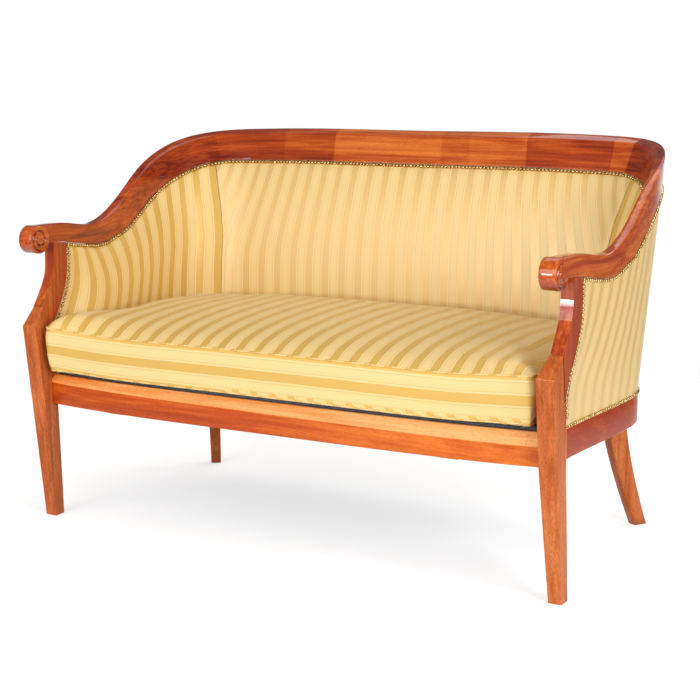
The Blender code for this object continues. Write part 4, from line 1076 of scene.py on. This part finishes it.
def cushion_mesh():
    """Boxed cushion: crowned top, boxing that swells between the seams, flat underside. Stripes are in metres.

    Gives the mesh, how many points its rim has and where the points of its underside start."""
    outline = seat_outline(cushion_front, CUSHION_CORNER, 0.010)
    # the outline is even on both sides, so the left corner's further reach is added here
    further = np.array([cushion_front(abs(x)) - cushion_front(x) for x in outline[:, 0]])
    outline[:, 1] -= further * np.clip(1.0 - (outline[:, 1] - CUSHION_FRONT_Y) / CUSHION_EAR_REACH, 0.0, 1.0)
    rim = drawn_in(outline, 0.005)
    flat, faces = filled(rim, 0.011)
    count, start = len(rim), len(flat)
    gaps = rim_distance(flat, rim)
    ahead = flat[:, 1] - np.array([cushion_front(x) for x in flat[:, 0]])
    # the crown rises from the front edge towards the back, and falls off close to the other edges
    depths = np.minimum(np.maximum(ahead, gaps), 5.0 * gaps)
    slow = 1.0 - (1.0 - np.clip(depths / CUSHION_CROWN_DEPTH, 0.0, 1.0)) ** 2
    crown = CUSHION_CROWN * mix(slow, 1.0 - np.exp(-gaps / CUSHION_EDGE_REACH), CUSHION_EDGE_ROLL)
    crown = evened(crown, faces, count, 8)
    points = []
    for (x, y), rise, gap in zip(flat, crown, gaps):
        # the left corner also bulges over its seam
        bulge = corner_lift(x, y) * (1.0 - math.exp(-gap / CUSHION_EDGE_REACH)) if x < 0.0 else 0.0
        points.append((x, y, seam_height(x, y, True) + rise + bulge - back_corner_drop(x, y)))
    tucks = CUSHION_TUCK * np.abs(rim[:, 0] / CUSHION_WIDEST)[:, None] ** 4
    under = np.concatenate([drawn_in(rim, tucks), flat[count:]])
    for (x, y), gap in zip(under, gaps):
        points.append((x, y, mix(seam_height(x, y, False), CUSHION_LOW, 1.0 - math.exp(-gap / 0.02))))
    polygons = faces + [tuple(start + i for i in reversed(face)) for face in faces]
    uvs = [tuple(flat[i % start]) for polygon in polygons for i in polygon]
    strip = [list(range(start, start + count))]
    for r in range(1, BOXING_ROWS):
        share = r / BOXING_ROWS
        swell = CUSHION_SWELL * (1.0 - (2.0 * share - 1.0) ** 2)
        strip.append(list(range(len(points), len(points) + count)))
        for x, y in drawn_in(rim, tucks * (1.0 - share) ** 2 - swell):
            points.append((x, y, mix(seam_height(x, y, False), seam_height(x, y, True), share)))
    strip.append(list(range(count)))
    lengths = lengths_round(rim)
    for r in range(BOXING_ROWS):
        low, high = CUSHION_BOXING * r / BOXING_ROWS, CUSHION_BOXING * (r + 1) / BOXING_ROWS
        for i in range(count):
            j = (i + 1) % count
            polygons.append((strip[r][i], strip[r][j], strip[r + 1][j], strip[r + 1][i]))
            if r == 0 and flat[i][0] > UNDER_STRIPES_FROM:
                # right of there the underside's stripes come up over the lower edge, aslant
                here, there, slant = flat[i][0], flat[j][0], UNDER_STRIPES_SLANT
                uvs += [(here, 0.0), (there, 0.0), (there + slant, high), (here + slant, high)]
            else:
                below, above = low + BOXING_STRIPE_START, high + BOXING_STRIPE_START
                here, there = lengths[i], lengths[i + 1]
                uvs += [(below, here), (below, there), (above, there), (above, here)]
    return drawn(points, polygons, uvs), count, start


def filled_by_air(made, held_points):
    """Swells a cover with Cloth under pressure, caps how far each point moved and keeps the result as the mesh."""
    held = made.vertex_groups.new(name="held")
    held.add(held_points, 1.0, "REPLACE")
    rest = np.array([v.co for v in made.data.vertices])
    cloth = made.modifiers.new("filling", "CLOTH")
    for name, value in FILLING.items():
        setattr(cloth.settings, name, value)
    cloth.settings.effector_weights.gravity = 0.0
    cloth.settings.vertex_group_mass = held.name
    scene = bpy.context.scene
    for number in range(1, FILLING_FRAMES + 1):
        scene.frame_set(number)
    swollen = made.evaluated_get(bpy.context.evaluated_depsgraph_get())
    moved = np.array([v.co for v in swollen.data.vertices]) - rest
    scene.frame_set(1)
    made.modifiers.remove(cloth)
    made.vertex_groups.remove(held)
    reach = np.linalg.norm(moved, axis=1)
    moved *= (FILLING_CAP / np.maximum(reach, FILLING_CAP))[:, None]
    pressed = rest + moved
    pressed[:, 0] = np.clip(pressed[:, 0], -CUSHION_LIMIT, CUSHION_LIMIT)
    made.data.vertices.foreach_set("co", pressed.astype(np.float32).ravel())
    made.data.update()


def piping(line, sides=8):
    """A round cord along a closed line, with stripes across it every repeat."""
    count = len(line)
    turns = [2 * math.pi * k / sides for k in range(sides)]
    rings = []
    for i in range(count):
        along = Vector(line[(i + 1) % count] - line[i - 1]).normalized()
        side = along.cross(Vector((0.0, 0.0, 1.0))).normalized()
        up = side.cross(along)
        centre = Vector(line[i])
        rings.append([centre + (side * math.cos(turn) + up * math.sin(turn)) * PIPING_RADIUS for turn in turns])
    stripe = [[(length, 0.001 * k) for k in range(sides + 1)] for length in lengths_round(line)]
    return skin(rings, stripe, looped=True)


def make_cushion():
    mesh, count, start = cushion_mesh()
    finished(mesh, SOFT_EDGE)
    made = piece("loose_cushion", mesh, SATIN, ("seat_cushion",), "cushion")
    held = [v.index for v in mesh.vertices if v.index >= start and v.co.z < CUSHION_LOW + 0.02]
    filled_by_air(made, held)
    places = np.array([v.co for v in mesh.vertices]) + (0.0, MIDDLE_Y, 0.0)
    upper = piping(places[:count])
    lower = piping(places[start:start + count] + (0.0, 0.0, 0.001))
    piece("cushion_piping", finished(joined(upper, lower), SOFT_EDGE), SATIN, (), "cushion")


make_platform()
make_stuffing()
make_dust_cover()
make_cushion()

# ---------------------------------------------------------------- brass nails


def nail_tree():
    """Dome nails set one after the other along edge chains, each facing away from the cloth it holds."""
    tree = bpy.data.node_groups.new("nail rows", "GeometryNodeTree")
    tree.interface.new_socket("Geometry", in_out="INPUT", socket_type="NodeSocketGeometry")
    for name in ("Pitch", "Head radius", "Dome height"):
        tree.interface.new_socket(name, in_out="INPUT", socket_type="NodeSocketFloat")
    tree.interface.new_socket("Finish", in_out="INPUT", socket_type="NodeSocketMaterial")
    tree.interface.new_socket("Geometry", in_out="OUTPUT", socket_type="NodeSocketGeometry")
    given = put(tree, "NodeGroupInput").outputs
    rows = put(tree, "GeometryNodeMeshToCurve", {"Mesh": given["Geometry"]})
    spaced = put(tree, "GeometryNodeResampleCurve", {"Curve": rows.outputs[0], "Length": given["Pitch"]}, mode="LENGTH")
    facing = put(tree, "GeometryNodeInputNamedAttribute", {"Name": "facing"}, data_type="FLOAT_VECTOR")
    turn = put(tree, "FunctionNodeAlignRotationToVector", {"Vector": facing.outputs[0]}, axis="Z")
    head = put(tree, "GeometryNodeMeshUVSphere", {"Segments": 10, "Rings": 6, "Radius": 1.0})
    radius = given["Head radius"]
    size = put(tree, "ShaderNodeCombineXYZ", {0: radius, 1: radius, 2: given["Dome height"]})
    each = {"Points": spaced, "Instance": head, "Rotation": turn, "Scale": size}
    heads = put(tree, "GeometryNodeInstanceOnPoints", {name: node.outputs[0] for name, node in each.items()})
    real = put(tree, "GeometryNodeRealizeInstances", {"Geometry": heads.outputs[0]})
    round_ = put(tree, "GeometryNodeSetShadeSmooth", {0: real.outputs[0]})
    brass = put(tree, "GeometryNodeSetMaterial", {"Geometry": round_.outputs[0], "Material": given["Finish"]})
    put(tree, "NodeGroupOutput", {"Geometry": brass.outputs[0]})
    return tree


def surface_normal(surface, share, rise, outward):
    step = 0.004
    across = surface(share + step, rise) - surface(share - step, rise)
    up = surface(share, min(1.0, rise + step)) - surface(share, rise - step)
    normal = across.cross(up).normalized()
    return normal if normal.dot(outward) > 0.0 else -normal


def nail_rows():
    """Chains of points with the direction each nail faces: inside and outside, along rail, post and seat rail."""
    chains = []
    for surface, sign in ((pad_face, 1.0), (cover_face, -1.0)):
        def nail(share, rise, at):
            """A place on the surface and the way a nail faces there, read at a rise clear of the edge."""
            return surface(share, rise), surface_normal(surface, share, at, inward(SEAT_PLAN, share) * sign)

        top, post, foot = [], [], []
        for share in stations(post_share(surface, 0.985) + NAIL_POST_GAP, 1.0, NAIL_STEP):
            tall = (surface(share, 1.0) - surface(share, 0.9)).length / 0.1
            rise = 1.0 - NAIL_INSET / tall
            top.append(nail(share, rise, min(rise, 0.99)))
        for i in range(60):
            rise = mix(0.02, 0.97, i / 59)
            post.append(nail(post_share(surface, rise) + share_at_y(SEAT_PLAN, NAIL_INSET), rise, rise))
        chains += [top, post]
        if sign < 0.0:
            for share in stations(post_share(surface, 0.02) + NAIL_POST_GAP, 1.0, NAIL_STEP):
                tall = (surface(share, 1.0) - surface(share, 0.0)).length
                foot.append(nail(share, NAIL_FOOT_INSET / tall, 0.02))
            chains.append(foot)
    points, edges, facings = [], [], []
    for chain in chains:
        for side in (1.0, -1.0):
            first = len(points)
            for point, normal in chain:
                out = Vector((normal.x * side, normal.y, normal.z))
                points.append(Vector((point.x * side, point.y - MIDDLE_Y, point.z)) + out * NAIL_LIFT)
                facings.append(out)
            edges += [(first + i, first + i + 1) for i in range(len(chain) - 1)]
    return points, edges, facings


def make_nails():
    points, edges, facings = nail_rows()
    mesh = bpy.data.meshes.new("nail_lines")
    mesh.from_pydata(points, edges, [])
    facing = mesh.attributes.new("facing", "FLOAT_VECTOR", "POINT")
    facing.data.foreach_set("vector", [v for out in facings for v in out])
    lines = linked("nail_lines", mesh)
    tree = nail_tree()
    rows = lines.modifiers.new("nails", "NODES")
    rows.node_group = tree
    values = {"Pitch": NAIL_PITCH, "Head radius": NAIL_RADIUS, "Dome height": NAIL_DOME, "Finish": BRASS}
    for item in tree.interface.items_tree:
        if item.in_out == "INPUT" and item.name in values:
            rows[item.identifier] = values[item.name]
    bpy.context.view_layer.update()
    made = bpy.data.meshes.new_from_object(lines.evaluated_get(bpy.context.evaluated_depsgraph_get()))
    lines.modifiers.remove(rows)
    bpy.data.objects.remove(lines, do_unlink=True)
    piece("brass_nails", made, BRASS)


make_nails()

# ---------------------------------------------------------------- stage, light and camera


def make_floor():
    half = FLOOR_SIZE / 2
    mesh = drawn([(-half, -half, 0.0), (half, -half, 0.0), (half, half, 0.0), (-half, half, 0.0)], [(0, 1, 2, 3)])
    floor = linked("studio_floor", mesh)
    # white paper: a plain diffuse white that the camera and reflections see a little brighter
    made, tree = new_material("white_paper_floor")
    path = put(tree, "ShaderNodeLightPath").outputs
    seen = maths(tree, "MAXIMUM", path["Is Camera Ray"], path["Is Glossy Ray"])
    seen = maths(tree, "MAXIMUM", seen, path["Is Transmission Ray"])
    paper = put(tree, "ShaderNodeBsdfDiffuse", {"Color": linear("#E4E4E4")})
    glow = {"Color": linear("#FFFFFF"), "Strength": maths(tree, "MULTIPLY", seen, PAPER_GLOW)}
    light = put(tree, "ShaderNodeEmission", glow)
    both = put(tree, "ShaderNodeAddShader", {0: paper.outputs[0], 1: light.outputs[0]})
    # the paper fades into the white backdrop two metres out
    away = put(tree, "ShaderNodeVectorMath", {0: own_place(tree)}, operation="LENGTH").outputs["Value"]
    fade = smooth_range(tree, away, 1.2, 2.4)
    clear = put(tree, "ShaderNodeBsdfTransparent")
    surface = put(tree, "ShaderNodeMixShader", {0: fade, 1: both.outputs[0], 2: clear.outputs[0]})
    put(tree, "ShaderNodeOutputMaterial", {"Surface": surface.outputs[0]})
    mesh.materials.append(made)


def make_world():
    world = bpy.data.worlds.new("studio")
    bpy.context.scene.world = world
    world.use_nodes = True
    tree = world.node_tree
    tree.nodes.clear()
    path = put(tree, "ShaderNodeLightPath").outputs
    mirrored_ray = maths(tree, "MAXIMUM", path["Is Glossy Ray"], path["Is Transmission Ray"])
    # reflections see the white backdrop where it hangs behind the settee, and a dim studio elsewhere
    toward = put(tree, "ShaderNodeTexCoord").outputs["Generated"]
    height = put(tree, "ShaderNodeSeparateXYZ", {"Vector": toward}).outputs[2]
    low = smooth_range(tree, height, 0.05, 0.20, 1.0, 0.0)
    behind = put(tree, "ShaderNodeVectorMath", {0: toward, 1: (-0.5, 0.866, 0.0)}, operation="DOT_PRODUCT")
    hung = smooth_range(tree, behind.outputs["Value"], 0.70, 0.92)
    studio = blend(tree, maths(tree, "MULTIPLY", low, hung), DIM_STUDIO, 1.0)
    room = blend(tree, mirrored_ray, ROOM_LIGHT, studio)
    level = blend(tree, path["Is Camera Ray"], room, 1.0)
    air = put(tree, "ShaderNodeBackground", {"Color": linear("#FFFFFF"), "Strength": level})
    put(tree, "ShaderNodeOutputWorld", {"Surface": air.outputs[0]})


def softbox(name, place, target, width, height, power):
    light = bpy.data.lights.new(name, "AREA")
    light.shape = "RECTANGLE"
    light.size, light.size_y = width, height
    light.energy = power
    made = linked(name, light)
    made.location = place
    made.rotation_mode = "QUATERNION"
    made.rotation_quaternion = (Vector(target) - Vector(place)).to_track_quat("-Z", "Y")


def make_camera():
    """The camera the photograph was taken with, as solved from it."""
    lens = bpy.data.cameras.new("photo_camera")
    lens.sensor_width = 36.0
    lens.lens = CAMERA_LENS
    lens.clip_end = 100.0
    made = linked("photo_camera", lens)
    yaw, pitch, roll = CAMERA_YAW, CAMERA_PITCH, CAMERA_ROLL
    ahead = Vector((-math.sin(yaw) * math.cos(pitch), math.cos(yaw) * math.cos(pitch), -math.sin(pitch)))
    level = Vector((math.cos(yaw), math.sin(yaw), 0.0))
    above = level.cross(ahead)
    right = level * math.cos(roll) + above * math.sin(roll)
    up = above * math.cos(roll) - level * math.sin(roll)
    turn = Matrix((right, up, -ahead)).transposed()
    made.matrix_world = Matrix.Translation(CAMERA_PLACE) @ turn.to_4x4()
    bpy.context.scene.camera = made


make_floor()
make_world()
# the main light is high at the front left and the fill is at the right; the two low ones light the cushion's boxing
softbox("window", (-0.6, -3.4, 0.82), (0.0, 0.0, 0.60), 0.9, 0.42, 28.0)
softbox("key", (-1.1, -3.7, 0.85), (0.0, 0.2, 0.60), 3.8, 1.5, 16.0)
softbox("tall_key", (-0.7, -4.0, 2.35), (0.0, 0.3, 0.65), 3.8, 1.8, 68.0)
softbox("overhead", (0.3, 1.2, 3.2), (0.0, 0.0, 0.3), 2.6, 2.0, 22.0)
softbox("back_window", (1.6, 2.4, 2.2), (-0.5, 0.0, 0.7), 1.0, 0.7, 10.0)
softbox("fill", (3.2, -1.6, 1.5), (0.0, 0.0, 0.5), 1.8, 1.8, 86.0)
make_camera()
bpy.context.scene.view_settings.view_transform = "Standard"
